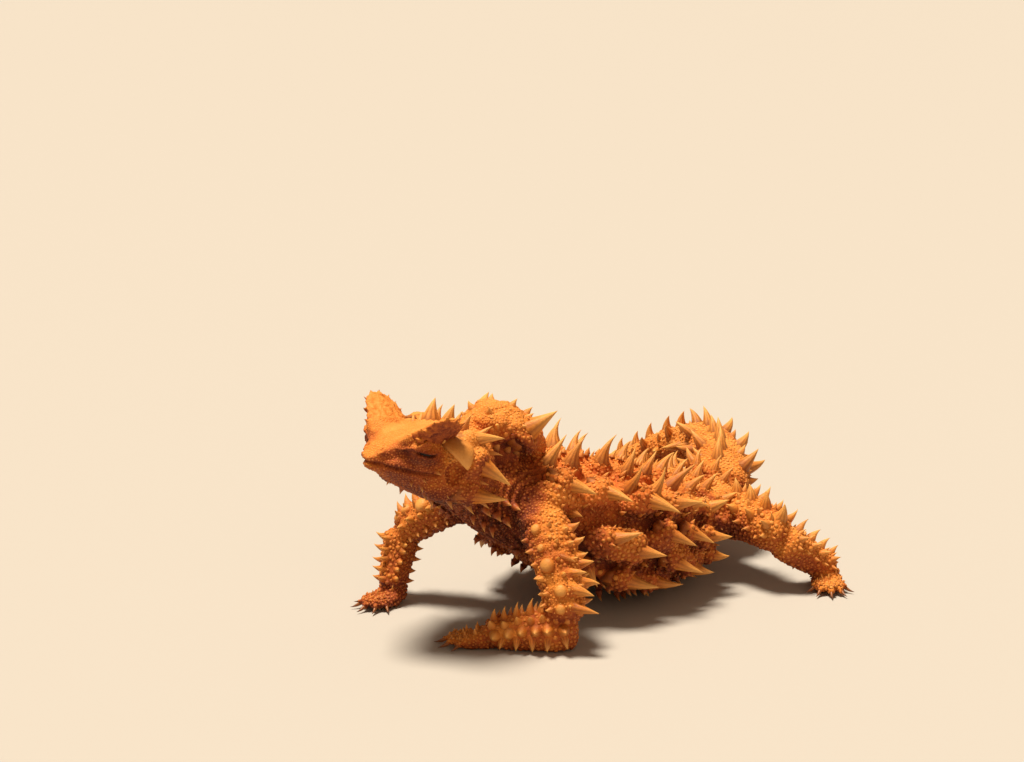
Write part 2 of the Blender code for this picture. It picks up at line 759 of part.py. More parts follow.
# Hands and feet: a flat sole, five short toes and their claws.
TOE_SPREAD = (-56.0, -27.0, 0.0, 27.0, 56.0)
TOE_LENGTHS = (2.8, 3.6, 4.0, 3.6, 2.8)
CLAW_LENGTH = 2.2
SOLES = {
    "hand_left": ("arm_lower_left", (57.7, 9.5), -49.0, 5.2),
    "hand_right": ("arm_lower_right", (54.6, -19.9), 4.0, 4.8),
    "foot_left": ("leg_lower_left", (-11.6, 26.9), 48.0, 5.4),
    "foot_right": ("leg_lower_right", (-11.6, -26.9), -48.0, 5.4),
}
toe_forms = {}
for name, (owner, (heel_x, heel_y), heading, size) in SOLES.items():
    turn = math.radians(heading)
    way = np.array((math.cos(turn), math.sin(turn), 0.0))
    heel = np.array((heel_x, heel_y, 0.0))
    sole_rows = []
    for reach, high, wide, rise, drop in ((-1.6, 2.2, 1.6, 1.5, 1.6),
                                          (0.6, 1.9, 2.5, 1.6, 2.2),
                                          (size * 0.55, 1.5, 2.9, 1.2, 2.0),
                                          (size, 1.2, 2.5, 0.8, 1.5)):
        spot = heel + way * reach
        sole_rows.append((spot[0], spot[1], high, wide, rise, drop))
    sole = Form(sole_rows, floor=0.0)
    item = loft(name, sole, 0.0, 1.0, 4, 10)
    extras = []
    toe_forms[name] = []
    for spread, toe in zip(TOE_SPREAD, TOE_LENGTHS):
        angle = turn + math.radians(spread)
        toe_way = np.array((math.cos(angle), math.sin(angle), 0.0))
        base = heel + way * (size * 0.62) + toe_way * 0.9
        toe_rows = []
        for reach, high, thick in ((0.0, 1.3, 0.85), (toe * 0.55, 1.55, 0.8),
                                   (toe, 1.15, 0.65)):
            spot = base + toe_way * reach
            toe_rows.append((spot[0], spot[1], high, thick, thick, thick))
        form = Form(toe_rows, floor=0.05 * MM)
        toe_forms[name].append(form)
        extras.append(loft("toe", form, 0.0, 1.0, 2, 6))
        spot = (base + toe_way * (toe - 0.5)) * MM
        spot[2] = 1.25 * MM
        aim = unit(toe_way + np.array((0.0, 0.0, -0.36)))
        claw = thorn(spot, toe_way, aim, (CLAW_LENGTH + 0.5) * MM, 0.52 * MM,
                     5, waist=0.0, root=0.5 * MM)
        extras.append(to_object("claw", claw))
    boolean(item, extras, "UNION")
    lower = forms[owner]
    boolean(item, [loft("cutter", lower, 0.0, 1.0, 5, SIDES_LIMB, GAP, GAP)],
            "DIFFERENCE")
    forms[name] = sole
    add_node(name, item, OCHRE)

# Large spines of the front of the trunk, a little different on each side.
for x, angle, tip, foot in FRONT_SPINES:
    for mirror in (1, -1):
        shy = 0.0 if mirror > 0 else chance.uniform(-0.9, 0.9)
        turn = math.radians(angle if mirror > 0 else 180.0 - angle)
        base = trunk.point(trunk.along_x((x + shy) * MM), turn)
        end = np.array((tip[0] + shy, tip[1] * mirror, tip[2])) * MM
        set_on(torso, base, end, foot, waist=FULL_WAIST)

# Large and small spines of the trunk, in rows down both sides.
for x_from, x_to, count, angle, long_from, long_to, foot_from, foot_to, \
        back, lift in TRUNK_SPINES:
    for order in range(count):
        share = order / (count - 1)
        for mirror in (1, -1):
            x = x_from + (x_to - x_from) * share + chance.uniform(-0.7, 0.7)
            turn = math.radians(angle if mirror > 0 else 180.0 - angle)
            place(torso, trunk, trunk.along_x(x * MM), turn,
                  (long_from + (long_to - long_from) * share) * vary(0.10),
                  (foot_from + (foot_to - foot_from) * share) * vary(0.08),
                  back, lift, 5, 0.7)
for x_from, x_to, count, angle, length, foot in TRUNK_SMALL:
    for order in range(count):
        share = (order + 0.5) / count
        for mirror in (1, -1):
            x = x_from + (x_to - x_from) * share + chance.uniform(-0.6, 0.6)
            turn = math.radians(angle if mirror > 0 else 180.0 - angle)
            place(torso, trunk, trunk.along_x(x * MM), turn,
                  length * vary(0.25), foot * vary(0.1), 0.5, 0.1, 4,
                  waist=0.0)
x_from, x_to, count, angle, length, foot = THROAT_SPINES
for order in range(count):
    x = x_from + (x_to - x_from) * order / (count - 1)
    for mirror in (1, -1):
        turn = math.radians(angle if mirror > 0 else 180.0 - angle)
        place(torso, trunk, trunk.along_x(x * MM), turn, length * vary(0.2),
              foot, 0.2, 0.0, 4, waist=0.0)


# Spines of the head, each row: base, tip and foot radius, for both sides.
HEAD_SPINES = (
    ((5.4, 2.4, 6.4), (5.0, 2.9, 11.0), 1.7),
    ((3.2, 3.6, 5.8), (2.4, 4.2, 9.8), 1.0),
    ((1.2, 1.2, 6.0), (0.2, 1.4, 9.4), 0.9),
    ((8.6, 8.4, 3.4), (6.2, 11.6, 0.8), 1.9),
    ((5.0, 7.6, 5.0), (-0.6, 10.2, 6.8), 1.6),
    ((4.0, 8.9, 2.0), (-1.4, 13.4, -0.8), 1.8),
    ((4.0, 9.0, -3.0), (-1.4, 13.4, -3.2), 1.7),
    ((3.4, 8.2, -5.0), (2.6, 10.4, -7.6), 1.0),
    ((7.0, 7.6, -5.0), (6.6, 9.0, -7.4), 0.9),
)
for base, tip, foot in HEAD_SPINES:
    for mirror in (1, -1):
        set_on(head_node, in_head(base[0], base[1] * mirror, base[2]),
               in_head(tip[0], tip[1] * mirror, tip[2]), foot)
for order in range(5):
    share = order / 4
    for mirror in (1, -1):
        x = 18.6 - 4.4 * share
        y = 2.6 + 2.8 * share
        z = 1.2 + 3.2 * share
        set_on(head_node, in_head(x, y * mirror, z),
               in_head(x, (y + 0.6) * mirror, z + 1.0), 0.62, 5)
for order in range(5):
    share = order / 4
    for mirror in (1, -1):
        x = 15.5 - 9.0 * share
        set_on(jaw_node if x > MOUTH_BACK + 1.2 else head_node,
               in_head(x, (5.2 + 3.4 * share) * mirror, -3.4 - 1.0 * share),
               in_head(x - 0.4, (6.3 + 3.6 * share) * mirror,
                       -4.0 - 1.1 * share), 0.62, 5)
# Two small spikes on each brow blade's front edge, and steps behind.
for mirror, side_name in ((1, "left"), (-1, "right")):
    blade = nodes["horn_brow_" + side_name]
    for base, tip, foot in (((15.4, 7.6, 4.6), (16.9, 7.9, 4.9), 0.6),
                            ((15.0, 9.0, 6.3), (16.5, 9.4, 6.7), 0.55),
                            ((9.8, 10.4, 7.9), (8.8, 11.3, 8.5), 0.6),
                            ((9.2, 8.6, 6.7), (8.0, 9.1, 7.2), 0.6),
                            ((11.9, 11.2, 8.8), (11.5, 12.2, 9.8), 0.6)):
        set_on(blade, in_head(base[0], base[1] * mirror, base[2]),
               in_head(tip[0], tip[1] * mirror, tip[2]), foot, 5)
# The hump has one great spine on each side and smaller ones over its top.
for mirror in (1, -1):
    set_on(hump_node, np.array((43.4, 5.0 * mirror, 34.8)) * MM,
           np.array((41.6, 9.0 * mirror, 39.6)) * MM, 3.0, 6,
           waist=FULL_WAIST)
    for base_x, base_y, base_z, lean_x, lean_y, high, foot in (
            (50.0, 3.0, 39.6, -0.2, 0.4, 1.3, 1.0),
            (46.6, 3.2, 39.0, -0.4, 0.5, 1.5, 1.1),
            (43.0, 1.8, 38.2, -0.8, 0.3, 1.6, 1.1),
            (51.4, 4.8, 36.8, 0.1, 1.2, 0.9, 1.0),
            (48.0, 6.2, 36.2, -0.3, 1.5, 0.9, 1.1)):
        base = np.array((base_x, base_y * mirror, base_z)) * MM
        tip = base + np.array((lean_x, lean_y * mirror, high)) * MM
        set_on(hump_node, base, tip, foot)

# Limb spines, each row: node, share from, to, count, angle, length, foot,
# lean back. Angle 0 is the outer side of an arm, 90 its front or its top.
LIMB_SPINES = (
    ("arm_upper_left", 0.34, 0.86, 4, -38.0, 3.4, 1.4, 0.1),
    ("arm_upper_left", 0.30, 0.88, 5, 22.0, 1.5, 1.5, 0.0),
    ("arm_upper_left", 0.36, 0.84, 4, 74.0, 1.2, 1.1, 0.0),
    ("arm_upper_left", 0.42, 0.84, 3, -80.0, 2.2, 1.1, 0.0),
    ("arm_lower_left", 0.10, 0.86, 6, 84.0, 2.6, 1.1, 0.3),
    ("arm_lower_left", 0.08, 0.88, 6, 44.0, 1.6, 1.1, 0.0),
    ("arm_lower_left", 0.12, 0.90, 6, 8.0, 2.2, 1.1, 0.0),
    ("arm_lower_left", 0.16, 0.84, 5, 132.0, 2.2, 1.0, 0.2),
    ("arm_upper_right", 0.36, 0.88, 4, 90.0, 2.0, 1.1, 0.1),
    ("arm_upper_right", 0.36, 0.90, 5, 180.0, 2.6, 1.2, 0.2),
    ("arm_upper_right", 0.40, 0.88, 4, 225.0, 2.4, 1.1, 0.2),
    ("arm_lower_right", 0.16, 0.84, 4, 90.0, 1.8, 1.0, 0.1),
    ("arm_lower_right", 0.16, 0.84, 4, 150.0, 2.2, 1.0, 0.2),
    ("arm_lower_right", 0.16, 0.84, 4, 30.0, 1.8, 1.0, 0.1),
    ("arm_lower_right", 0.16, 0.84, 4, 215.0, 2.4, 1.0, 0.2),
    ("leg_upper_left", 0.34, 0.90, 4, 90.0, 3.4, 1.5, 0.2),
    ("leg_upper_left", 0.34, 0.90, 4, 140.0, 2.6, 1.2, 0.2),
    ("leg_upper_left", 0.34, 0.90, 4, 40.0, 3.0, 1.3, 0.2),
    ("leg_lower_left", 0.14, 0.86, 4, 90.0, 2.6, 1.1, 0.2),
    ("leg_lower_left", 0.14, 0.86, 4, 35.0, 2.4, 1.0, 0.2),
    ("leg_lower_left", 0.14, 0.86, 4, 145.0, 2.2, 1.0, 0.2),
    ("leg_upper_right", 0.34, 0.90, 4, 90.0, 3.4, 1.5, 0.2),
    ("leg_upper_right", 0.34, 0.90, 4, 140.0, 2.6, 1.2, 0.2),
    ("leg_upper_right", 0.34, 0.90, 4, 40.0, 3.0, 1.3, 0.2),
    ("leg_lower_right", 0.14, 0.86, 4, 90.0, 2.6, 1.1, 0.2),
    ("leg_lower_right", 0.14, 0.86, 4, 35.0, 2.4, 1.0, 0.2),
    ("leg_lower_right", 0.14, 0.86, 4, 145.0, 2.2, 1.0, 0.2),
    ("hand_left", 0.40, 0.80, 2, 90.0, 1.1, 0.7, 0.2),
    ("hand_right", 0.40, 0.80, 2, 90.0, 1.1, 0.7, 0.2),
    ("foot_left", 0.40, 0.80, 2, 90.0, 1.1, 0.7, 0.2),
    ("foot_right", 0.40, 0.80, 2, 90.0, 1.1, 0.7, 0.2),
)
for name, start, end, count, angle, length, foot, back in LIMB_SPINES:
    for order in range(count):
        along = start + (end - start) * order / (count - 1)
        place(nodes[name], forms[name], along, math.radians(angle),
              length * vary(0.15), foot * vary(0.08), back)

# Tail spines: rings of five, shorter toward the tip.
TAIL_RINGS = 15
TAIL_ANGLES = (-8.0, 38.0, 90.0, 142.0, 188.0)
tail_spots = []
for ring in range(TAIL_RINGS):
    along = 0.05 + 0.91 * ring / (TAIL_RINGS - 1)
    for order, angle in enumerate(TAIL_ANGLES):
        if ring > 11 and order in (1, 3):
            continue
        shift = chance.uniform(-0.006, 0.006)
        order_node = sum(along > cut for cut in TAIL_CUTS[1:-1])
        length = (4.6 - 3.0 * along) * (1.0 if order % 2 else 0.9)
        place(nodes[TAIL_NAMES[order_node]], tail, along + shift,
              math.radians(angle), length * vary(0.12),
              (1.5 - 0.85 * along) * vary(0.08), 0.75)

# Neck spines between the head and the shoulders, at each side.
for share in (0.18, 0.42):
    for mirror in (1, -1):
        for angle, length, foot in ((64.0, 2.4, 1.1), (16.0, 3.2, 1.3),
                                    (-24.0, 2.2, 1.0)):
            along = neck_start + (1.0 - neck_start) * share
            turn = math.radians(angle if mirror > 0 else 180.0 - angle)
            place(neck, trunk, along, turn, length * vary(0.15), foot, 0.3)

# Each node is fused with its spines and takes its own material.
for node in nodes.values():
    if node.spines:
        boolean(node.item, node.spines, "UNION")
        keep_largest(node.item)
low = np.full(3, 1e9)
high = np.full(3, -1e9)
for node in nodes.values():
    for vert in node.item.data.vertices:
        low = np.minimum(low, vert.co)
        high = np.maximum(high, vert.co)
shift = Matrix.Translation((-(low[0] + high[0]) / 2, -(low[1] + high[1]) / 2,
                            -low[2]))
for node in nodes.values():
    mesh = node.item.data
    mesh.transform(shift)
    mesh.shade_smooth()
    mesh.set_sharp_from_angle(angle=math.radians(35.0))
    finish = bpy.data.materials.new(node.name + "_skin")
    finish.use_nodes = True
    shader = finish.node_tree.nodes["Principled BSDF"]
    shader.inputs["Base Color"].default_value = (*node.colour, 1.0)
    shader.inputs["Roughness"].default_value = 0.8
    shader.inputs["Metallic"].default_value = 0.0
    mesh.materials.clear()
    mesh.materials.append(finish)
    shaping.objects.unlink(node.item)
    animal.objects.link(node.item)
bpy.context.scene.collection.children.unlink(shaping)
total = 0
for node in nodes.values():
    count = len(node.item.data.polygons)
    total += count
    print("%-18s %5d faces %3d spines" % (node.name, count, len(node.spines)))
print("faces in all:", total)
print("moved by", [round(value / MM, 3) for value in shift.translation])
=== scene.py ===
import math
import random

import bpy
import numpy as np
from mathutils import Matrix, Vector, noise
from mathutils.bvhtree import BVHTree
from mathutils.kdtree import KDTree


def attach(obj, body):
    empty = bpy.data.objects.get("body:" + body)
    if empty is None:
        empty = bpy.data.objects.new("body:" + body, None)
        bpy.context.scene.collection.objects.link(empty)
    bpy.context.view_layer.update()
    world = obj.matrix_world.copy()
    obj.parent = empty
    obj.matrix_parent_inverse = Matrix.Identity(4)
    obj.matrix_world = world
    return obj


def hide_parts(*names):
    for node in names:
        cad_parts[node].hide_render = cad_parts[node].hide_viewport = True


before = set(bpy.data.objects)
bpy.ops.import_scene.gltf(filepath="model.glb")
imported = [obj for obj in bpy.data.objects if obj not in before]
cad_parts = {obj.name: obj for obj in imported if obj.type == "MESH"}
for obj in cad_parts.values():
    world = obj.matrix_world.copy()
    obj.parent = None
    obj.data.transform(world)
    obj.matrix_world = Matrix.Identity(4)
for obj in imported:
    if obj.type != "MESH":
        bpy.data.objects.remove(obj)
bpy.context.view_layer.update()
print("frame loaded")

mm = 0.001

# The lengths of the body, each row: x, y, z, half width, rise, drop in
# millimetres, in the animal's own frame: x forward from the hips, y to its left.
bodyRows = {
    "trunk": (
        (-13.0, 0.0, 13.6, 5.6, 3.8, 4.4), (-8.0, 0.0, 13.4, 7.6, 4.4, 8.0),
        (-1.0, 0.0, 12.4, 10.8, 5.8, 11.4), (7.0, 0.0, 11.8, 14.2, 8.4, 12.3),
        (15.0, 0.0, 12.6, 16.6, 10.6, 13.2), (23.0, 0.0, 14.0, 17.4, 12.2, 13.8),
        (31.0, 0.0, 15.8, 16.4, 12.2, 12.6), (39.0, 0.0, 18.6, 13.6, 10.8, 9.4),
        (45.5, 0.0, 22.4, 10.8, 9.6, 9.0), (51.0, -0.1, 25.6, 9.2, 8.6, 7.9),
        (56.0, -0.3, 28.6, 8.4, 7.4, 7.4), (60.0, -0.6, 31.0, 8.2, 6.8, 7.2),
    ),
    "tail": (
        (-10.0, 0.0, 13.6, 6.4, 4.2, 4.8), (-14.6, -2.8, 14.8, 5.4, 4.4, 4.6),
        (-19.2, -8.2, 16.2, 4.7, 4.3, 4.4), (-22.8, -15.6, 16.4, 4.4, 4.1, 4.2),
        (-24.0, -24.2, 13.8, 4.1, 3.8, 3.9), (-22.8, -32.8, 9.4, 3.7, 3.5, 3.6),
        (-18.8, -40.6, 5.4, 3.3, 3.1, 3.3), (-12.4, -47.0, 3.4, 2.8, 2.6, 3.3),
        (-5.2, -51.8, 2.5, 2.2, 2.1, 2.5), (1.2, -55.4, 2.0, 1.6, 1.5, 2.0),
        (3.4, -56.6, 1.9, 0.9, 0.9, 1.2),
    ),
    "hump": (
        (52.8, -0.2, 34.8, 2.6, 2.2, 2.2), (51.0, -0.2, 35.5, 5.0, 4.2, 2.7),
        (48.2, 0.0, 35.6, 6.4, 5.1, 3.0), (44.6, 0.0, 34.4, 6.8, 4.4, 3.1),
        (41.4, 0.0, 32.4, 5.8, 3.2, 3.0), (38.6, 0.0, 31.0, 3.4, 2.0, 2.8),
    ),
    "armUpperLeft": (
        (44.6, 8.0, 21.0, 4.4, 4.6, 4.6), (46.6, 12.8, 18.4, 4.1, 4.3, 4.3),
        (48.2, 16.6, 13.8, 3.7, 3.8, 3.8), (49.0, 18.9, 9.4, 3.5, 3.6, 3.6),
        (49.3, 19.8, 6.4, 3.2, 3.3, 3.3),
    ),
    "armLowerLeft": (
        (48.0, 20.6, 3.9, 2.5, 2.4, 3.3), (50.0, 18.4, 3.8, 3.2, 3.1, 4.0),
        (52.8, 15.2, 3.5, 3.2, 2.9, 3.8), (55.6, 12.0, 3.0, 2.8, 2.4, 3.2),
        (58.0, 9.2, 2.5, 2.4, 2.0, 2.7),
    ),
    "armUpperRight": (
        (44.4, -8.0, 21.4, 4.6, 4.6, 4.6), (46.6, -12.2, 19.2, 3.9, 4.1, 4.1),
        (48.8, -16.0, 16.6, 3.4, 3.6, 3.6), (50.6, -19.2, 14.2, 3.2, 3.3, 3.3),
        (51.6, -20.8, 13.0, 2.6, 2.7, 2.7),
    ),
    "armLowerRight": (
        (51.8, -20.9, 12.0, 3.0, 3.0, 3.0), (52.8, -20.8, 9.2, 2.9, 2.9, 2.9),
        (54.0, -20.4, 6.0, 2.5, 2.5, 2.5), (55.2, -19.9, 3.2, 2.2, 2.2, 2.2),
    ),
    "legUpperLeft": (
        (-3.4, 6.0, 11.4, 5.2, 5.0, 5.0), (-3.2, 11.0, 11.8, 4.7, 4.6, 4.6),
        (-2.6, 16.4, 11.8, 4.1, 4.0, 4.0), (-2.2, 21.0, 11.0, 3.7, 3.6, 3.6),
        (-2.4, 23.6, 10.2, 2.9, 2.9, 2.9),
    ),
    "legLowerLeft": (
        (-3.0, 24.0, 9.2, 3.2, 3.2, 3.2), (-6.0, 25.0, 7.2, 3.1, 3.1, 3.1),
        (-9.4, 26.2, 4.8, 2.7, 2.6, 2.7), (-12.2, 27.0, 3.1, 2.4, 2.2, 2.4),
    ),
}
headRows = (  # in the head's own frame: x forward from the nape, z up
    (-1.5, 0.0, 0.4, 7.2, 5.6, 6.6), (1.5, 0.0, 0.2, 8.4, 6.4, 7.0),
    (5.0, 0.0, 0.0, 9.2, 6.8, 6.9), (8.5, 0.0, 0.0, 9.0, 6.7, 6.1),
    (11.5, 0.0, 0.0, 8.1, 6.1, 5.2), (14.5, 0.0, 0.0, 6.6, 4.8, 4.1),
    (16.8, 0.0, -0.2, 4.8, 3.2, 2.9), (18.6, 0.0, -0.6, 3.0, 1.8, 1.9),
    (19.5, 0.0, -0.8, 1.6, 0.9, 1.1),
)
hornRows = (
    (12.4, 4.0, 2.8, 4.7, 1.9, 1.9), (12.3, 6.2, 4.8, 4.5, 1.6, 1.6),
    (12.2, 8.2, 6.5, 3.8, 1.2, 1.2), (12.1, 10.0, 7.9, 3.2, 0.85, 0.85),
    (11.8, 11.3, 8.9, 1.9, 0.5, 0.5),
)
headPose = {"at": (56.2, 0.3, 31.0), "pitch": 14.0, "yaw": -6.0}
footPrints = {  # hand or foot: heel x, y, heading in degrees, length
    "handLeft": (57.7, 9.5, -49.0, 5.2), "handRight": (54.6, -19.9, 4.0, 4.8),
    "footLeft": (-11.6, 26.9, 48.0, 5.4), "footRight": (-11.6, -26.9, -48.0, 5.4),
}
toes = {"spread": (-56.0, -27.0, 0.0, 27.0, 56.0), "length": (2.8, 3.6, 4.0, 3.6, 2.8),
        "claw": 2.2}
face = {"mouthHeight": -1.1, "mouthBack": 10.4, "eye": (13.4, 6.5, 2.5), "eyeRadius": 1.9,
        "lids": (3.0, 2.6, 2.5), "ear": (8.0, 9.4, -0.2), "nostril": (18.2, 1.9, 1.05)}


def unit(rows):
    return rows / np.maximum(np.linalg.norm(rows, axis=-1, keepdims=True), 1e-9)


def smoothStep(value, low, high):
    share = np.clip((value - low) / (high - low), 0, 1)
    return share * share * (3 - 2 * share)


class BodyLine:  # a bent, tapering length, read smoothly from its rows

    def __init__(self, rows, up=(0, 0, 1), power=2.25, floor=None):
        self.rows = np.array(rows, float)
        self.up, self.power, self.floor = np.array(up, float), power, floor
        self.last = len(rows) - 1
        self.knots = np.linspace(0, self.last, 24 * self.last + 1)
        self.line = self.row(self.knots)[:, :3]
        steps = np.linalg.norm(np.diff(self.line, axis=0), axis=1)
        self.length = steps.sum()
        self.runs = np.concatenate([[0], np.cumsum(steps)]) / self.length

    def row(self, knot):
        low = np.clip(np.floor(knot).astype(int), 0, self.last - 1)
        part = (knot - low)[:, None]
        before, start = self.rows[np.maximum(low - 1, 0)], self.rows[low]
        end, after = self.rows[low + 1], self.rows[np.minimum(low + 2, self.last)]
        leave, arrive = (end - before) / 2, (after - start) / 2
        square, cube = part ** 2, part ** 3
        return ((2 * cube - 3 * square + 1) * start + (cube - 2 * square + part) * leave
                + (3 * square - 2 * cube) * end + (cube - square) * arrive)

    def frame(self, along):
        knot = np.interp(along, self.runs, self.knots)
        ahead = unit(self.row(np.minimum(knot + 0.08, self.last))[:, :3]
                     - self.row(np.maximum(knot - 0.08, 0))[:, :3])
        side = unit(np.cross(self.up, ahead))
        return ahead, side, np.cross(ahead, side)

    def point(self, along, angle, grow=0.0):
        along, angle = np.broadcast_arrays(np.atleast_1d(along), np.atleast_1d(angle))
        row = self.row(np.interp(along, self.runs, self.knots))
        _, side, up = self.frame(along)
        across, upward = np.cos(angle), np.sin(angle)
        reach = (np.abs(across) ** self.power + np.abs(upward) ** self.power) ** (-1 / self.power)
        wide = (row[:, 3] + grow) * reach * across
        tall = (np.where(upward > 0, row[:, 4], row[:, 5]) + grow) * reach * upward
        spot = row[:, :3] + side * wide[:, None] + up * tall[:, None]
        if self.floor is not None:
            spot[:, 2] = np.maximum(spot[:, 2], self.floor)
        return spot

    def normal(self, along, angle):
        step = 0.01
        along, angle = np.broadcast_arrays(np.atleast_1d(along), np.atleast_1d(angle))
        run = self.point(np.minimum(along + step, 1), angle) - self.point(np.maximum(along - step, 0), angle)
        turn = self.point(along, angle + step) - self.point(along, angle - step)
        return unit(np.cross(turn, run))

    def footAt(self, along, angle):
        return self.point(along, angle)[0], self.normal(along, angle)[0]

    def alongX(self, x, angle=None):
        # the share of the length where the middle line, or the surface at an angle, has this x
        shares = np.linspace(0, 1, 300)
        reach = (np.interp(shares, self.runs, self.line[:, 0]) if angle is None
                 else self.point(shares, np.full(300, angle))[:, 0])
        order = np.argsort(reach)
        return float(np.interp(x, reach[order], shares[order]))


pitch, yaw = math.radians(headPose["pitch"]), math.radians(headPose["yaw"])
headAhead = np.array((math.cos(yaw) * math.cos(pitch), math.sin(yaw) * math.cos(pitch), math.sin(pitch)))
headLeft = np.array((-math.sin(yaw), math.cos(yaw), 0.0))
headTurn = np.column_stack((headAhead, headLeft, np.cross(headAhead, headLeft)))


def inHead(spots):
    return np.array(headPose["at"]) + np.atleast_2d(spots) @ headTurn.T


def toHead(spots):
    return (np.atleast_2d(spots) - np.array(headPose["at"])) @ headTurn


def levelWay(degrees):
    return np.array((math.cos(math.radians(degrees)), math.sin(math.radians(degrees)), 0))


def flip(rows):
    return [(row[0], -row[1], *row[2:]) for row in rows]


def headSet(rows):
    return [(*inHead(row[:3])[0], *row[3:]) for row in rows]


bodyRows["legUpperRight"] = flip(bodyRows["legUpperLeft"])
bodyRows["legLowerRight"] = flip(bodyRows["legLowerLeft"])
laidLow = ("trunk", "tail", "armLowerLeft", "legLowerLeft", "legLowerRight")
sideways = ("armUpperLeft", "armUpperRight", "armLowerRight")
lines = {}
for name, rows in bodyRows.items():
    lines[name] = BodyLine(rows, (1, 0, 0) if name in sideways else (0, 0, 1),
                           2.1 if name == "hump" else 2.25, 0.0 if name in laidLow else None)
lines["head"] = BodyLine(headSet(headRows), headTurn[:, 2], 2.5)
for side, mirror in (("Left", 1), ("Right", -1)):
    rows = headSet([(r[0], r[1] * mirror, *r[2:]) for r in hornRows])
    lines["horn" + side] = BodyLine(rows, headTurn @ np.array((0, 0.66, -0.75 * mirror)), 1.8)
toeLines = {}
for name, (heelX, heelY, heading, size) in footPrints.items():
    way = levelWay(heading)
    heel = np.array((heelX, heelY, 0))
    lines[name] = BodyLine([(*(heel + way * reach)[:2], high, wide, rise, drop) for
                            reach, high, wide, rise, drop in
                            ((-1.6, 2.2, 1.6, 1.5, 1.6), (0.6, 1.9, 2.5, 1.6, 2.2),
                             (size * 0.55, 1.5, 2.9, 1.2, 2.0), (size, 1.2, 2.5, 0.8, 1.5))], floor=0.0)
    toeLines[name] = []
    for spread, toe in zip(toes["spread"], toes["length"]):
        toeWay = levelWay(heading + spread)
        base = heel + way * (size * 0.62) + toeWay * 0.9
        toeLines[name].append(BodyLine([(*(base + toeWay * reach)[:2], high, thick, thick, thick) for
                                        reach, high, thick in ((0, 1.3, 0.85), (toe * 0.3, 1.5, 0.8),
                                                               (toe * 0.6, 1.5, 0.72), (toe, 1.15, 0.6))],
                                       floor=0.05))

# The animal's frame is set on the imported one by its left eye.
eyeSpots = np.array([vert.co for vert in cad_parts["eye_left"].data.vertices])
eyeMiddle = np.unique(np.round(eyeSpots, 7), axis=0).mean(0) / mm
bodyShift = eyeMiddle - inHead(face["eye"])[0]
bodyShift[2] = 0.0
print("frame shift in mm", np.round(bodyShift, 3))


def toFrame(spots):
    return (np.asarray(spots) + bodyShift) * mm


def toBody(spots):
    return np.asarray(spots) / mm - bodyShift


def newPiece(name, spots, faces):
    mesh = bpy.data.meshes.new(name)
    mesh.from_pydata(toFrame(spots).tolist(), [], [list(map(int, face)) for face in faces])
    piece = bpy.data.objects.new(name, mesh)
    bpy.context.collection.objects.link(piece)
    return piece


def onlySelect(*pieces):
    if bpy.context.object and bpy.context.object.mode != "OBJECT":
        bpy.ops.object.mode_set(mode="OBJECT")
    bpy.ops.object.select_all(action="DESELECT")
    for piece in pieces:
        piece.select_set(True)
    bpy.context.view_layer.objects.active = pieces[0]


def applied(piece, kind, **settings):
    onlySelect(piece)
    modifier = piece.modifiers.new(kind.lower(), kind)
    for key, value in settings.items():
        setattr(modifier, key, value)
    bpy.ops.object.modifier_apply(modifier=modifier.name)


def loft(line, rings, sides, start=0.0, end=1.0, grow=0.0, dome=0.6):
    # closed sections along a line, with rounded ends
    turns = np.linspace(0, 2 * math.pi, sides, endpoint=False)
    stack = []
    for share in (0.25, 0.65, 0.9):
        stack.append((start, -math.cos(math.asin(share)) * dome, share))
    stack += [(along, 0.0, 1.0) for along in np.linspace(start, end, rings)]
    for share in (0.9, 0.65, 0.25):
        stack.append((end, math.cos(math.asin(share)) * dome, share))
    spots = []
    for along, push, share in stack:
        ring = line.point(np.full(sides, along), turns, grow)
        middle = line.row(np.interp([along], line.runs, line.knots))[0, :3]
        width = line.row(np.interp([along], line.runs, line.knots))[0, 3:].min()
        ring = middle + (ring - middle) * share + line.frame(np.array([along]))[0] * push * width
        if line.floor is not None:
            ring[:, 2] = np.maximum(ring[:, 2], line.floor)
        spots.append(ring)
    count = len(stack)
    faces = [(low * sides + turn, low * sides + (turn + 1) % sides,
              (low + 1) * sides + (turn + 1) % sides, (low + 1) * sides + turn)
             for low in range(count - 1) for turn in range(sides)]
    faces.append(list(range(sides))[::-1])
    faces.append([(count - 1) * sides + turn for turn in range(sides)])
    return np.concatenate(spots), faces


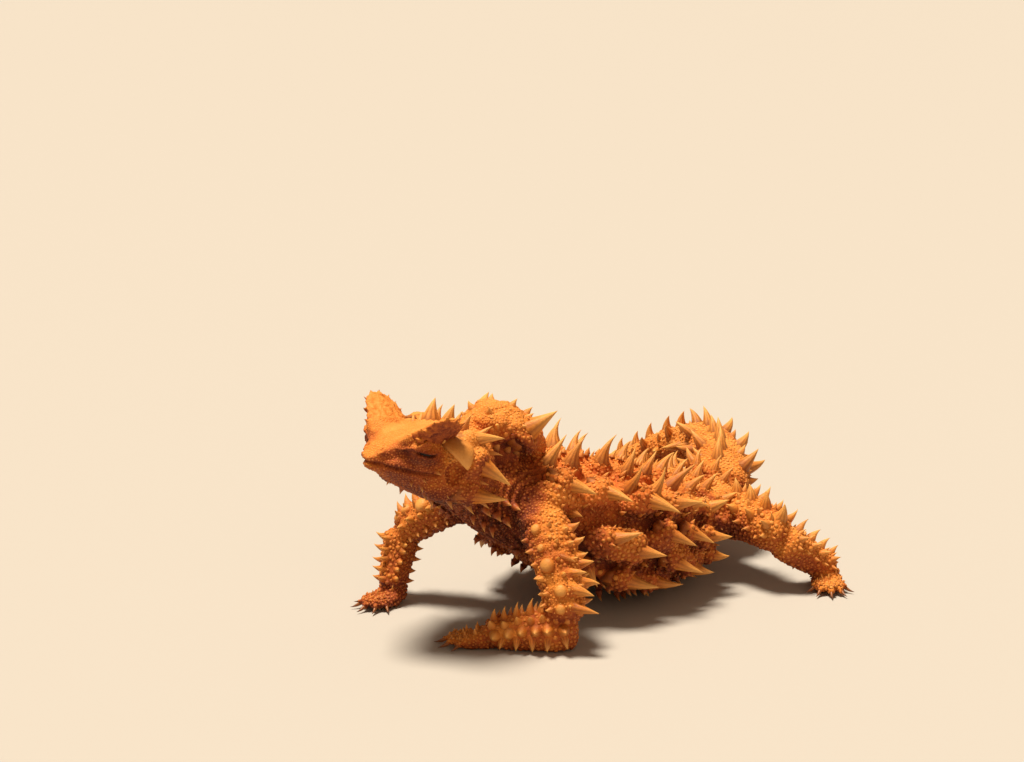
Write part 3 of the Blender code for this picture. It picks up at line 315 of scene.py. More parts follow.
# Masters: each repeated shape is modelled once, one unit high on a unit foot.
def modelSpike(name, sides, profile, flute=0.0):
    # a disc is extruded up ring by ring and drawn in to its tip
    if bpy.context.object:
        bpy.ops.object.select_all(action="DESELECT")
    bpy.ops.mesh.primitive_circle_add(vertices=sides, radius=profile[0][1], fill_type="NGON")
    piece = bpy.context.object
    piece.name = name
    bpy.ops.object.mode_set(mode="EDIT")
    bpy.ops.mesh.select_all(action="SELECT")
    bpy.ops.mesh.duplicate()
    for (lowHeight, lowRadius), (height, radius) in zip(profile, profile[1:]):
        bpy.ops.mesh.extrude_region_move(TRANSFORM_OT_translate={"value": (0, 0, height - lowHeight)})
        bpy.ops.transform.resize(value=(radius / lowRadius, radius / lowRadius, 1),
                                 center_override=(0, 0, height))
    bpy.ops.mesh.merge(type="CENTER")
    bpy.ops.mesh.select_all(action="SELECT")
    bpy.ops.mesh.remove_doubles(threshold=1e-5)
    bpy.ops.mesh.quads_convert_to_tris()
    bpy.ops.mesh.normals_make_consistent(inside=False)
    bpy.ops.object.mode_set(mode="OBJECT")
    spots = np.array([vert.co for vert in piece.data.vertices])
    faces = np.array([face.vertices[:] for face in piece.data.polygons])
    if flute:  # ridges run up the horn, and fade at its foot and tip
        turn = np.arctan2(spots[:, 1], spots[:, 0])
        ridge = np.cos(turn * sides / 2) * flute * np.clip(spots[:, 2] * 4 + 0.4, 0, 1)
        spots[:, :2] *= (1 + ridge)[:, None]
    bpy.data.objects.remove(piece)
    groove = np.cos(np.arctan2(spots[:, 1], spots[:, 0]) * sides / 2) * (1 if flute else 0)
    return {"spots": spots, "faces": faces, "groove": groove, "profile": np.array(profile)}


masters = {
    "greatSpine": modelSpike("greatSpine", 16, ((0, 1), (0.1, 0.87), (0.22, 0.73), (0.35, 0.595), (0.48, 0.465),
                                                (0.6, 0.35), (0.72, 0.24), (0.83, 0.145),
                                                (0.92, 0.065), (1, 0.012)), 0.12),
    "fin": modelSpike("fin", 16, ((0, 1), (0.09, 0.85), (0.19, 0.69), (0.3, 0.53), (0.42, 0.39), (0.55, 0.275),
                                  (0.68, 0.18), (0.8, 0.11), (0.91, 0.05), (1, 0.012)), 0.15),
    "spine": modelSpike("spine", 10, ((0, 1), (0.14, 0.84), (0.3, 0.64), (0.47, 0.44), (0.65, 0.26),
                                      (0.83, 0.11), (1, 0.02)), 0.07),
    "prickle": modelSpike("prickle", 6, ((0, 1), (0.22, 0.72), (0.5, 0.4), (0.8, 0.14), (1, 0.03))),
    "granule": modelSpike("granule", 6, ((0, 1), (0.62, 0.76), (1, 0.06))),
    "dome": modelSpike("dome", 14, ((0, 1), (0.3, 0.94), (0.58, 0.78), (0.8, 0.56), (0.94, 0.28), (1, 0.04))),
    "leaf": modelSpike("leaf", 14, ((0, 1), (0.2, 1.06), (0.42, 1.0), (0.6, 0.84), (0.76, 0.6), (0.89, 0.32),
                                    (1, 0.03)), 0.06),
    "mound": modelSpike("mound", 12, ((0, 1), (0.3, 0.84), (0.62, 0.55), (0.85, 0.32), (1, 0.1))),
}
print("masters modelled")

chance = random.Random(41)


def vary(amount):
    return 1 + chance.uniform(-amount, amount)


# Every spine is one entry: its root, the way out of the hide, its tip, foot radius and form.
spines = []


def addSpine(root, outward, tip, foot, flat=1.0, curve=0.1, kind="spine", group="trunk", mound=1.3,
             fore=0.0, high=0.3):
    root, tip = np.array(root, float), np.array(tip, float)
    foothold = unit(np.array(outward, float) + 0.45 * unit(tip - root))
    spines.append({"root": root, "outward": foothold, "tip": tip, "foot": foot, "flat": flat, "curve": curve,
                   "kind": kind, "group": group, "mound": mound, "fore": fore, "high": high})


def spineOn(line, along, degrees, length, foot, back=0.3, lift=0.0, **more):
    # a spine on a line, leaning back along it, or up
    root, outward = line.footAt(along, math.radians(degrees))
    ahead = line.frame(np.array([along]))[0][0]
    rear = -ahead if ahead[0] > -0.2 else ahead
    aim = unit(outward + rear * back + np.array((0, 0, lift)))
    addSpine(root, outward, root + aim * length, foot, **more)


def mirrored(degrees, mirror):
    return degrees if mirror > 0 else 180 - degrees


def sideAngle(degrees, mirror):
    return math.radians(mirrored(degrees, mirror))


finAngle = 36  # the spines above this angle on the trunk are the fins of the back
frontSpines = (  # x and angle of the foot, the tip, foot radius, curve, how far the foot is drawn forward
    (40.7, 58, (37.7, 7.9, 34.5), 2.1, 0.16, 0.5), (34.3, 66, (32.2, 7.1, 32.9), 2.0, 0.16, 0.5),
    (27.3, 68, (24.8, 7.6, 32.0), 1.9, 0.16, 0.5), (24.3, 58, (22.4, 10.0, 29.9), 1.7, 0.16, 0.5),
    (18.9, 60, (16.7, 9.8, 27.9), 1.7, 0.16, 0.5), (27.7, 40, (26.5, 15.9, 28.4), 2.0, 0.14, 0.5),
    (22.6, 38, (21.2, 16.3, 27.1), 1.9, 0.14, 0.5), (15.7, 46, (10.8, 14.3, 25.2), 1.9, 0.14, 0.5),
    (40.9, 34, (37.3, 15.4, 24.8), 2.5, 0.06, 0.6), (33.6, 36, (31.6, 18.8, 23.0), 2.3, 0.06, 0.6),
    (26.3, 32, (22.6, 21.9, 19.8), 2.5, 0.06, 0.6), (19.8, 28, (15.4, 20.3, 20.0), 2.2, 0.06, 0.6),
    (14.2, 30, (11.1, 17.9, 18.0), 1.9, 0.08, 0.6), (40.6, 10, (40.0, 14.4, 21.1), 1.3, 0.10, 0.3),
    (35.1, -6, (31.3, 21.0, 17.9), 2.4, 0.05, 0.5), (29.6, -8, (26.1, 22.0, 12.6), 2.6, 0.07, 0.9),
    (22.6, 6, (19.1, 22.7, 13.0), 2.2, 0.07, 0.6), (15.7, 5, (12.5, 20.8, 11.7), 2.0, 0.08, 0.6),
    (20.3, -16, (16.5, 21.9, 7.2), 2.2, 0.08, 0.6), (37.4, -34, (37.1, 15.4, 7.6), 1.8, 0.08, 0.4),
    (30.9, -32, (26.3, 20.3, 6.3), 2.5, 0.08, 0.7), (24.2, -33, (19.8, 20.1, 5.4), 2.0, 0.08, 0.6),
)
trunk = lines["trunk"]
for x, degrees, tip, foot, curve, fore in frontSpines:
    for mirror in (1, -1):
        shy = 0.0 if mirror > 0 else chance.uniform(-0.9, 0.9)
        angle = sideAngle(degrees, mirror)
        along = trunk.alongX(x + shy, angle)
        look = ({"kind": "fin", "mound": 1.3, "fore": 0.2, "high": 0.2} if degrees > finAngle else
                {"kind": "greatSpine", "mound": 1.0, "fore": fore, "high": 0.15})
        addSpine(*trunk.footAt(along, angle), (tip[0] + shy, tip[1] * mirror, tip[2]), foot, 0.92, curve, **look)
rearSpines = (  # x from, to, count, angle, length from, to, foot from, to, back, lift
    (12.6, -8.0, 4, 72, 4.4, 3.6, 1.7, 1.4, 0.45, 0.0), (9.4, -6.0, 3, 48, 4.4, 3.6, 1.8, 1.4, 0.60, 0.1),
    (8.6, 1.0, 2, 24, 5.0, 4.4, 2.0, 1.7, 0.75, 0.1), (9.6, 2.4, 2, -2, 5.6, 4.8, 2.0, 1.8, 0.85, 0.0),
    (14.0, 7.0, 2, -24, 5.4, 4.8, 2.0, 1.8, 0.90, 0.1),
)
for xFrom, xTo, count, degrees, longFrom, longTo, footFrom, footTo, back, lift in rearSpines:
    for order in range(count):
        share = order / (count - 1)
        for mirror in (1, -1):
            x = xFrom + (xTo - xFrom) * share + chance.uniform(-0.7, 0.7)
            spineOn(trunk, float(trunk.alongX(x)), mirrored(degrees, mirror),
                    (longFrom + (longTo - longFrom) * share) * vary(0.1),
                    (footFrom + (footTo - footFrom) * share) * vary(0.08), back, lift,
                    curve=0.14, kind="fin" if degrees > finAngle else "greatSpine")
smallRows = (  # x from, to, count, angle, length, foot
    (42.0, -8.0, 17, 84, 1.0, 0.6), (41.5, -8.0, 16, 51, 1.1, 0.6), (42.0, -5.0, 12, 22, 1.1, 0.55),
    (37.0, 0.0, 12, -3, 1.1, 0.55), (36.0, 2.0, 11, -20, 1.1, 0.55), (40.0, 0.0, 14, -48, 1.4, 0.8),
    (44.0, 0.0, 14, -62, 1.3, 0.8),
)
for xFrom, xTo, count, degrees, length, foot in smallRows:
    for order in range(count):
        for mirror in (1, -1):
            x = xFrom + (xTo - xFrom) * (order + 0.5) / count + chance.uniform(-0.8, 0.8)
            turn = degrees + chance.uniform(-4, 4)
            spineOn(trunk, float(trunk.alongX(x)), mirrored(turn, mirror),
                    length * vary(0.3), foot * vary(0.15), 0.5, 0.1, kind="spine", mound=0 if foot < 0.6 else 1.0)

# The head's spines: root, tip, foot radius, flat, curve, for both sides.
headSpines = (
    ((6.4, 2.4, 6.4), (6.0, 2.9, 10.8), 2.0, 0.8, 0.06), ((4.0, 3.6, 5.8), (3.0, 4.3, 9.6), 1.2, 0.9, 0.1),
    ((1.6, 1.2, 6.0), (0.6, 1.4, 9.2), 1.0, 1.0, 0.1), ((5.0, 7.6, 5.0), (-0.6, 10.2, 6.8), 2.2, 0.8, 0.08),
    ((4.0, 8.9, 2.0), (-1.4, 13.4, -0.8), 2.7, 0.9, 0.06), ((4.0, 9.0, -3.0), (-1.4, 13.4, -3.2), 2.4, 0.9, 0.08),
    ((10.2, 7.4, 4.6), (11.2, 9.0, 5.4), 1.2, 0.7, 0.0),
    ((3.4, 8.2, -5.0), (2.8, 10.2, -6.9), 1.2, 1.0, 0.06), ((7.0, 7.6, -5.0), (6.6, 8.9, -6.6), 1.1, 1.0, 0.06),
    ((5.2, 9.2, -0.4), (4.2, 10.8, -1.4), 1.0, 1.0, 0.0), ((3.6, 9.0, -1.0), (1.4, 10.9, -1.4), 1.2, 0.9, 0.0),
    ((1.6, 5.0, 5.4), (-0.6, 6.2, 8.2), 1.1, 0.9, 0.1), ((1.8, 8.0, 3.8), (-0.8, 10.4, 3.8), 1.1, 0.9, 0.1),
    ((0.6, 8.6, 0.0), (-2.8, 10.8, -0.2), 1.3, 0.9, 0.1), ((0.8, 7.2, -4.4), (-1.6, 8.6, -6.0), 1.1, 0.9, 0.1),
    ((8.4, 4.3, -5.7), (8.0, 5.0, -7.3), 0.9, 1.0, 0.0), ((12.4, 6.3, -3.4), (12.2, 7.0, -4.4), 0.7, 1.0, 0.0),
    ((12.9, 7.2, -2.0), (12.7, 8.2, -2.5), 0.55, 1.0, 0.0), ((11.3, 8.2, -0.4), (10.8, 9.4, -0.7), 0.75, 1.0, 0.0),
    ((10.4, 7.9, -2.6), (10.0, 9.1, -3.3), 0.75, 1.0, 0.0), ((8.4, 7.9, -3.7), (8.0, 9.2, -4.7), 0.8, 1.0, 0.0),
    ((14.1, 5.4, -3.0), (14.0, 6.1, -3.8), 0.55, 1.0, 0.0), ((10.6, 5.4, -4.9), (10.4, 6.1, -6.1), 0.7, 1.0, 0.0),
    ((9.6, 3.4, 6.4), (9.4, 3.7, 7.2), 0.7, 1.0, 0.0), ((6.6, 5.4, 6.2), (6.0, 5.9, 7.6), 0.9, 1.0, 0.0),
)
headLine = lines["head"]


def gridOf(ringCount, sides):
    # shares and angles of a grid over a whole line
    grid = np.meshgrid(np.linspace(0, 1, ringCount), np.linspace(0, 2 * math.pi, sides, endpoint=False))
    return grid[0].ravel(), grid[1].ravel()


def onHead(spot):
    # the nearest place of the head's own surface, and the way out of it
    near = int(np.argmin(np.linalg.norm(headPlaces - inHead(spot)[0], axis=1)))
    return headLine.footAt(headGrid[0][near], headGrid[1][near])


headGrid = gridOf(121, 120)
headPlaces = headLine.point(*headGrid)
for mirror in (1, -1):  # the broad pale scale that hangs over the temple
    top, low = inHead(((8.6, 7.7 * mirror, 5.3), (6.8, 11.2 * mirror, 0.8)))
    addSpine(top, headTurn @ np.array((0.1, 0.55 * mirror, 0.8)), low, 1.15, 2.25, 0.2, "leaf", "head", 0)
for base, tip, foot, flat, curve in headSpines:
    for mirror in (1, -1):
        root, outward = onHead((base[0], base[1] * mirror, base[2]))
        end = inHead((tip[0], tip[1] * mirror, tip[2]))[0]
        addSpine(root, outward, end, foot, flat, curve,
                 "greatSpine" if foot > 1.5 else "spine", "head", 1.1 if foot > 1.0 else 0,
                 fore=0.9 if abs(base[2]) < 5.1 and foot > 1.5 else 0.0)

# The hump behind the head: a great spine at each side, small ones on its crest.
hump = lines["hump"]
for mirror in (1, -1):
    addSpine((46.4, 4.8 * mirror, 35.2), unit(np.array((0.1, 1.0 * mirror, 0.6))), (41.0, 9.0 * mirror, 39.6),
             3.2, 0.9, 0.1, "greatSpine", "head", 1.0, high=0.2)
    for x, degrees, length, foot in ((50.4, 62, 1.5, 1.1), (47.4, 66, 1.7, 1.2), (44.2, 72, 1.8, 1.1),
                                     (42.0, 58, 1.6, 1.0), (50.6, 30, 1.2, 1.0), (47.6, 20, 1.3, 1.0),
                                     (45.6, 46, 1.4, 1.0), (41.0, 80, 1.6, 0.9)):
        spineOn(hump, float(hump.alongX(x)), mirrored(degrees, mirror),
                length * vary(0.15), foot, 0.2, group="head", mound=1.1)

limbRows = (  # line, share from, to, count, angle, length, foot, back
    ("armUpperLeft", 0.30, 0.52, 3, -40, 1.9, 1.1, 0.2),
    ("armUpperLeft", 0.30, 0.92, 6, 28, 1.1, 0.8, 0.1),
    ("armUpperLeft", 0.66, 0.94, 3, 84, 1.6, 0.9, 0.1),
    ("armUpperLeft", 0.34, 0.90, 6, -8, 1.5, 0.9, 0.0),
    ("armUpperLeft", 0.36, 0.90, 6, -74, 2.2, 1.1, 0.1),
    ("armUpperLeft", 0.30, 0.90, 6, 104, 1.2, 0.8, 0.0),
    ("armLowerLeft", 0.08, 0.90, 7, 84, 2.7, 1.1, 0.3),
    ("armLowerLeft", 0.06, 0.90, 7, 48, 1.5, 1.1, 0.0),
    ("armLowerLeft", 0.10, 0.90, 6, 10, 2.0, 1.35, 0.0),
    ("armLowerLeft", 0.16, 0.86, 6, 132, 2.2, 1.0, 0.2),
    ("armUpperRight", 0.36, 0.90, 5, 90, 2.0, 1.1, 0.1),
    ("armUpperRight", 0.36, 0.92, 6, 180, 2.6, 1.2, 0.2),
    ("armUpperRight", 0.40, 0.90, 5, 225, 2.4, 1.1, 0.2),
    ("armUpperRight", 0.40, 0.90, 5, 135, 1.6, 1.0, 0.2),
    ("armUpperRight", 0.40, 0.90, 5, 45, 1.4, 0.9, 0.2),
    ("armLowerRight", 0.12, 0.88, 5, 90, 1.9, 1.0, 0.1),
    ("armLowerRight", 0.12, 0.88, 5, 150, 2.2, 1.0, 0.2),
    ("armLowerRight", 0.12, 0.88, 5, 30, 1.8, 1.0, 0.1),
    ("armLowerRight", 0.12, 0.88, 5, 205, 2.3, 1.0, 0.2),
    ("armLowerRight", 0.16, 0.84, 4, 262, 1.3, 0.9, 0.2),
    ("armLowerRight", 0.16, 0.84, 4, 318, 1.3, 0.9, 0.2),
)
legAngles = ((90, 3.4, 1.6), (140, 2.6, 1.2), (40, 3.0, 1.3), (115, 1.5, 0.8), (66, 1.5, 0.8),
             (10, 1.6, 0.9), (172, 1.6, 0.9))
for name in ("legUpperLeft", "legUpperRight", "legLowerLeft", "legLowerRight"):
    scale, start = (1.0, 0.32) if "Upper" in name else (0.8, 0.12)
    for degrees, length, foot in legAngles:
        limbRows += ((name, start, 0.9, 4 if length > 2 else 5, degrees, length * scale, foot * scale, 0.2),)
for name in footPrints:
    for degrees in (60, 90, 120):
        limbRows += ((name, 0.2, 0.86, 3, degrees, 1.1, 0.62, 0.2),)
for name, start, end, count, degrees, length, foot, back in limbRows:
    great = foot > 1.5  # the crest of the thighs
    for order in range(count):
        along = start + (end - start) * (order + chance.uniform(-0.12, 0.12)) / (count - 1)
        spineOn(lines[name], along, degrees + chance.uniform(-4, 4), length * vary(0.18), foot * vary(0.1), back,
                kind="greatSpine" if great else "spine", group="limbs", mound=1.25 if great else 1.05)
elbowSpines = (  # line, share, angle, reach across and down, foot, for elbow and forearm
    ("armUpperLeft", 0.55, 16, 1.9, 1.2, 1.0), ("armUpperLeft", 0.68, 2, 2.3, 0.0, 1.3),
    ("armUpperLeft", 0.81, 6, 3.2, 1.2, 1.8), ("armUpperLeft", 0.93, 14, 4.2, 1.1, 1.4),
    ("armUpperLeft", 0.60, -44, 2.0, -0.4, 1.2), ("armUpperLeft", 0.76, -46, 2.4, 0.2, 1.4),
    ("armLowerLeft", 0.10, -6, 0.5, 2.2, 1.25), ("armLowerLeft", 0.28, -12, -0.1, 2.1, 1.3),
    ("armLowerLeft", 0.46, -12, 0.1, 2.0, 1.25), ("armLowerLeft", 0.64, -12, -0.1, 1.8, 1.15),
    ("armLowerLeft", 0.82, -12, -0.2, 1.5, 1.0),
)
acrossView = np.array((-0.736, 0.677, 0))  # to the right as the camera sees it
for name, along, degrees, across, down, foot in elbowSpines:
    root, outward = lines[name].footAt(along, math.radians(degrees))
    tip = root + acrossView * across - np.array((0, 0, down)) + outward * 0.7
    addSpine(root, outward, tip, foot, 0.9, 0.08, "greatSpine", "limbs", 1.25, high=0.4)
armDomes = ((0.29, 60, 1.1), (0.44, 66, 0.85), (0.59, 63, 1.5), (0.80, 43, 1.25), (0.93, 52, 1.05))
for side, turned in (("Left", 1), ("Right", -1)):
    for along, degrees, foot in armDomes:
        if side == "Right" and along < 0.4:
            continue
        spineOn(lines["armUpper" + side], along, mirrored(degrees, turned), 0.62 * foot, foot,
                0.0, kind="dome", group="limbs", mound=1.1)
for name, toeSet in toeLines.items():
    for toeLine in toeSet:
        for along in (0.15, 0.42, 0.7):
            for degrees in (48, 90, 132):
                spineOn(toeLine, along, degrees, 0.42 * vary(0.2), 0.36, 0.3, kind="prickle",
                        group="limbs", mound=0)

tail = lines["tail"]
for ring in range(19):
    along = 0.04 + 0.93 * ring / 18
    for order, degrees in enumerate((-34, 4, 42, 90, 138, 176, 214)):
        large = degrees in (4, 90, 176) if ring % 2 else degrees in (42, 90, 138)
        length = (4.7 - 3.1 * along) * (1.0 if large else 0.5)
        if degrees in (-34, 214) and along > 0.5:
            continue
        spineOn(tail, along + chance.uniform(-0.006, 0.006), degrees + chance.uniform(-5, 5),
                length * vary(0.12), (1.6 - 0.9 * along) * (1.0 if large else 0.75), 0.75,
                kind="greatSpine" if large and along < 0.6 else "spine", group="tail", mound=1.1)
neckLow = float(trunk.alongX(50.0))
for share in (0.02, 0.2, 0.42):
    for degrees, length, foot in ((66, 2.0, 0.9), (-10, 1.5, 0.8), (-30, 1.7, 0.9), (-52, 1.3, 0.7)):
        for mirror in (1, -1):
            spineOn(trunk, neckLow + (1 - neckLow) * share, mirrored(degrees, mirror),
                    length * vary(0.15), foot, 0.3, group="head", mound=1.1)
print("spines placed:", len(spines))


def copiesOf(master, roots, outward, tips, radius, flat=1.0, curve=0.0, sink=0.35, fore=0.0):
    # the master, stretched from each root to its tip on a foot that lies on the skin
    roots, outward, tips = (np.atleast_2d(np.array(rows, float)) for rows in (roots, outward, tips))
    count = len(roots)
    radius, flat, curve, sink, fore = (np.broadcast_to(np.array(value, float), count)[:, None, None]
                                       for value in (radius, flat, curve, sink, fore))
    reach = tips - roots
    aim = unit(reach)
    slide = aim - outward * (aim * outward).sum(1, keepdims=True)
    weak = np.linalg.norm(slide, axis=1) < 0.08
    slide[weak] = np.cross(outward[weak], (0.21, 0.9, 0.37))
    slide = unit(slide)
    across = np.cross(outward, slide)[:, None, :]
    lean = (aim * outward).sum(1)
    slideAim = unit(slide - aim * (slide * aim).sum(1, keepdims=True))
    x, y, height = (master["spots"][None, :, axis, None] for axis in range(3))
    turnIn = smoothStep(height, 0.0, 0.55)
    axis = slide[:, None, :] * (1 - turnIn) + slideAim[:, None, :] * turnIn
    stretch = 1 + (0.35 * (1 - lean)[:, None, None] + 0.3 * fore) * (1 - turnIn)
    sag = unit(outward - aim * (lean - 0.02)[:, None])[:, None, :] * curve
    sag = sag * np.linalg.norm(reach, axis=1)[:, None, None]
    spots = (roots[:, None, :] + reach[:, None, :] * height - outward[:, None, :] * sink * (1 - height) ** 2
             + sag * 4 * height * (1 - height) + radius * (axis * x * stretch + across * y * flat)
             - slide[:, None, :] * fore * radius * 0.5 * (1 - height) ** 1.5)
    return spots


def stacked(master, spots):
    # the faces of many copies in one list
    size = len(master["spots"])
    offsets = np.arange(len(spots))[:, None, None] * size
    return spots.reshape(-1, 3), (master["faces"][None] + offsets).reshape(-1, 3)


def joined(parts):
    # many shells in one list of points and faces
    faces, base = [], 0
    for partSpots, partFaces in parts:
        faces += [[corner + base for corner in face] for face in partFaces]
        base += len(partSpots)
    return np.concatenate([part[0] for part in parts]), faces


# The skin: every length of the body and a mound under each spine, melted into one.
skinLook = {"voxel": 0.52, "headCuts": 1, "smooth": 3}
parts = []
for name, line in lines.items():
    if name.startswith("horn"):
        parts.append(loft(line, 14, 20, 0.0, 0.34, 0.35, 0.3))
        continue
    rings = max(10, int(line.length / 1.1))
    parts.append(loft(line, rings, 40 if name in ("trunk", "head", "hump") else 24,
                      grow=-1.7 if name == "trunk" else 0.0, dome=0.5 if name in ("head", "tail") else 0.3))
for toeSet in toeLines.values():
    for toeLine in toeSet:
        parts.append(loft(toeLine, 8, 12))
headBulges = (  # middle and radii in the head's frame: lids, brow, jaw hinge, temple
    (face["eye"], face["lids"]), ((11.0, 5.6, 4.0), (4.2, 2.2, 2.2)),
    ((9.4, 7.0, -3.2), (2.8, 2.0, 2.4)), ((6.6, 8.0, 3.0), (2.6, 2.0, 2.6)),
)
bulges = [(inHead(np.array(middle) * (1, mirror, 1))[0], radii)
          for mirror in (1, -1) for middle, radii in headBulges]
bulges.append((inHead((18.6, 0, -0.7))[0], (1.7, 2.6, 1.7)))  # rounded snout
humpLobes = (((51.0, 2.4, 37.6), (2.2, 2.2, 2.2)), ((47.0, 1.6, 38.6), (2.8, 3.2, 2.2)),
             ((47.6, -2.6, 38.4), (2.6, 2.6, 2.2)), ((52.6, -1.4, 36.8), (2.0, 2.4, 2.0)),
             ((46.6, 4.6, 36.6), (3.0, 2.6, 2.6)), ((46.6, -4.6, 36.6), (3.0, 2.6, 2.6)))
lobeBalls = [(np.array(middle), np.diag(radii)) for middle, radii in humpLobes]
lobes = (  # the swellings of flank and neck: x and angle on the trunk, half length, half height, proud, tilt
    (43.4, 17, 4.8, 3.6, 1.7, 0), (35.6, 32, 5.2, 2.9, 1.7, -6), (27.0, 28, 5.0, 3.0, 1.9, -4),
    (19.4, 30, 4.4, 2.8, 1.6, 0), (40.4, 7, 1.9, 1.7, 0.8, 0), (33.6, -7, 6.6, 3.8, 2.5, -10),
    (23.4, 0, 4.8, 2.9, 2.0, -8), (19.6, -17, 4.8, 2.9, 2.0, -8), (37.2, -40, 3.0, 2.4, 1.2, 0),
    (30.9, -33, 5.4, 2.7, 1.8, -6), (22.4, -35, 4.8, 2.3, 1.6, 0), (14.4, 5, 3.8, 2.6, 1.5, 0),
    (8.4, -3, 3.6, 2.5, 1.2, 0), (11.6, -24, 3.8, 2.5, 1.3, 0), (10.4, 27, 3.8, 2.5, 1.2, 0),
)
lobeDepth = 3.6
for lobeX, degrees, long, tall, proud, tilt in lobes:
    for mirror in (1, -1):
        angle = sideAngle(degrees, mirror)
        along = trunk.alongX(lobeX, angle)
        foot, outward = trunk.footAt(along, angle)
        ahead = trunk.frame(np.array([along]))[0][0]
        ahead = unit(ahead - outward * (ahead @ outward))
        rise = np.cross(outward, ahead) * mirror
        turn = math.radians(-tilt)
        ahead, rise = (ahead * math.cos(turn) + rise * math.sin(turn),
                       rise * math.cos(turn) - ahead * math.sin(turn))
        ahead = unit(ahead - outward * 0.2)
        outward = unit(np.cross(ahead, rise) * mirror)
        axes = np.column_stack((ahead * long, rise * tall, outward * lobeDepth))
        lobeBalls.append((foot + outward * (proud - lobeDepth), axes))
thornLobe = {"half": 0.31, "from": 0.04, "wide": 1.32, "thick": 1.22}
for spine in spines:  # the hide climbs the lower part of every great thorn of flank and neck
    foot, onTrunk = spine["foot"], spine["group"] == "trunk"
    if spine["kind"] == "greatSpine" and (onTrunk or spine["group"] == "head" and foot > 2.1):
        reach = spine["tip"] - spine["root"]
        ahead = unit(reach)
        across = unit(np.cross(ahead, spine["outward"]))
        half = thornLobe["half"] * (1.0 if onTrunk else 0.85)
        axes = np.column_stack((reach * half, across * foot * thornLobe["wide"] * spine["flat"],
                                np.cross(ahead, across) * foot * thornLobe["thick"]))
        lobeBalls.append((spine["root"] + reach * thornLobe["from"], axes))
bpy.ops.object.select_all(action="DESELECT")
bpy.ops.mesh.primitive_uv_sphere_add(segments=24, ring_count=16, radius=1)
ball = bpy.context.object
ballSpots = np.array([vert.co for vert in ball.data.vertices])
ballFaces = [face.vertices[:] for face in ball.data.polygons]
bpy.data.objects.remove(ball)
for middle, radii in bulges:
    parts.append((ballSpots * radii @ headTurn.T + middle, ballFaces))
for middle, axes in lobeBalls:
    turned = ballFaces if np.linalg.det(axes) > 0 else [face[::-1] for face in ballFaces]
    parts.append((ballSpots @ axes.T + middle, turned))
for spine in spines:
    if spine["mound"]:
        reach = spine["tip"] - spine["root"]
        high = min(spine["high"] * np.linalg.norm(reach), 1.4 * spine["foot"]) if spine["kind"] != "dome" else 0.5
        spots = copiesOf(masters["mound"], spine["root"], spine["outward"],
                         spine["root"] + unit(reach) * high, spine["foot"] * spine["mound"],
                         spine["flat"], sink=1.2, fore=0.0 if spine["fore"] > 0.9 else spine["fore"])
        parts.append(stacked(masters["mound"], spots))
bareSpots, bareFaces = joined(parts)
bareSpots[:, 2] = np.maximum(bareSpots[:, 2], 0.0)
skin = newPiece("skin", bareSpots, bareFaces)
applied(skin, "REMESH", mode="VOXEL", voxel_size=skinLook["voxel"] * mm, use_smooth_shade=True)
applied(skin, "SMOOTH", factor=0.5, iterations=skinLook["smooth"])
print("skin melted:", len(skin.data.polygons), "faces")


def readSpots(piece):
    rows = np.empty(len(piece.data.vertices) * 3, np.float32)
    piece.data.vertices.foreach_get("co", rows)
    return toBody(rows.reshape(-1, 3).astype(float))


def readNormals(piece):
    rows = np.empty(len(piece.data.vertices) * 3, np.float32)
    piece.data.vertex_normals.foreach_get("vector", rows)
    return rows.reshape(-1, 3).astype(float)


def writeSpots(piece, spots):
    spots[:, 2] = np.maximum(spots[:, 2], 0.0)
    piece.data.vertices.foreach_set("co", toFrame(spots).astype(np.float32).ravel())
    piece.data.update()


# The head's faces are cut finer, so that lids and lips can be shaped.
local = toHead(readSpots(skin))
fine = (local[:, 0] > -1.5) & (np.abs(local[:, 1]) < 13) & (local[:, 2] > -8.5) & (local[:, 2] < 7.5)
onlySelect(skin)
skin.data.vertices.foreach_set("select", fine)
inFine = fine[np.array([poly.vertices[0] for poly in skin.data.polygons])]
skin.data.polygons.foreach_set("select", inFine)
bpy.ops.object.mode_set(mode="EDIT")
bpy.ops.mesh.select_mode(type="FACE")
bpy.ops.object.mode_set(mode="OBJECT")
skin.data.polygons.foreach_set("select", inFine)
bpy.ops.object.mode_set(mode="EDIT")
bpy.ops.mesh.subdivide(number_cuts=skinLook["headCuts"], smoothness=0.0)
bpy.ops.mesh.select_all(action="SELECT")
bpy.ops.mesh.quads_convert_to_tris()
bpy.ops.object.mode_set(mode="OBJECT")
applied(skin, "SMOOTH", factor=0.5, iterations=1)
print("head refined:", len(skin.data.polygons), "triangles")


def noiseAt(spots, size, seed=0.0, octaves=2):
    return np.array([noise.fractal(Vector(spot) / size + Vector((seed, 0, 0)), 1.0, 2.0, octaves)
                     for spot in spots])


# Relief: lips, lids, nostrils, ears, folds at the shoulder and pebbled hide.
relief = {"lip": 0.28, "mouth": 0.55, "slit": 1.0, "lidRing": 0.11, "nostril": 0.6, "ear": 0.95, "canthus": 0.4,
          "fold": 0.45, "pebble": 0.1, "swell": 0.12, "crust": 0.42}
spots, normals = readSpots(skin), readNormals(skin)
local = toHead(spots)
x, y, z = local.T
push = np.zeros(len(spots))
mouthLine = face["mouthHeight"] + 0.25 * smoothStep(x, 13.0, 9.5)
nearMouth = smoothStep(x, face["mouthBack"] - 0.6, face["mouthBack"] + 1.0) * (np.abs(z) < 4)
push -= relief["mouth"] * nearMouth * np.exp(-((z - mouthLine) / 0.2) ** 2)
push += relief["lip"] * nearMouth * np.exp(-((z - mouthLine - 0.75) / 0.4) ** 2)
push += 0.6 * relief["lip"] * nearMouth * np.exp(-((z - mouthLine + 0.7) / 0.4) ** 2)
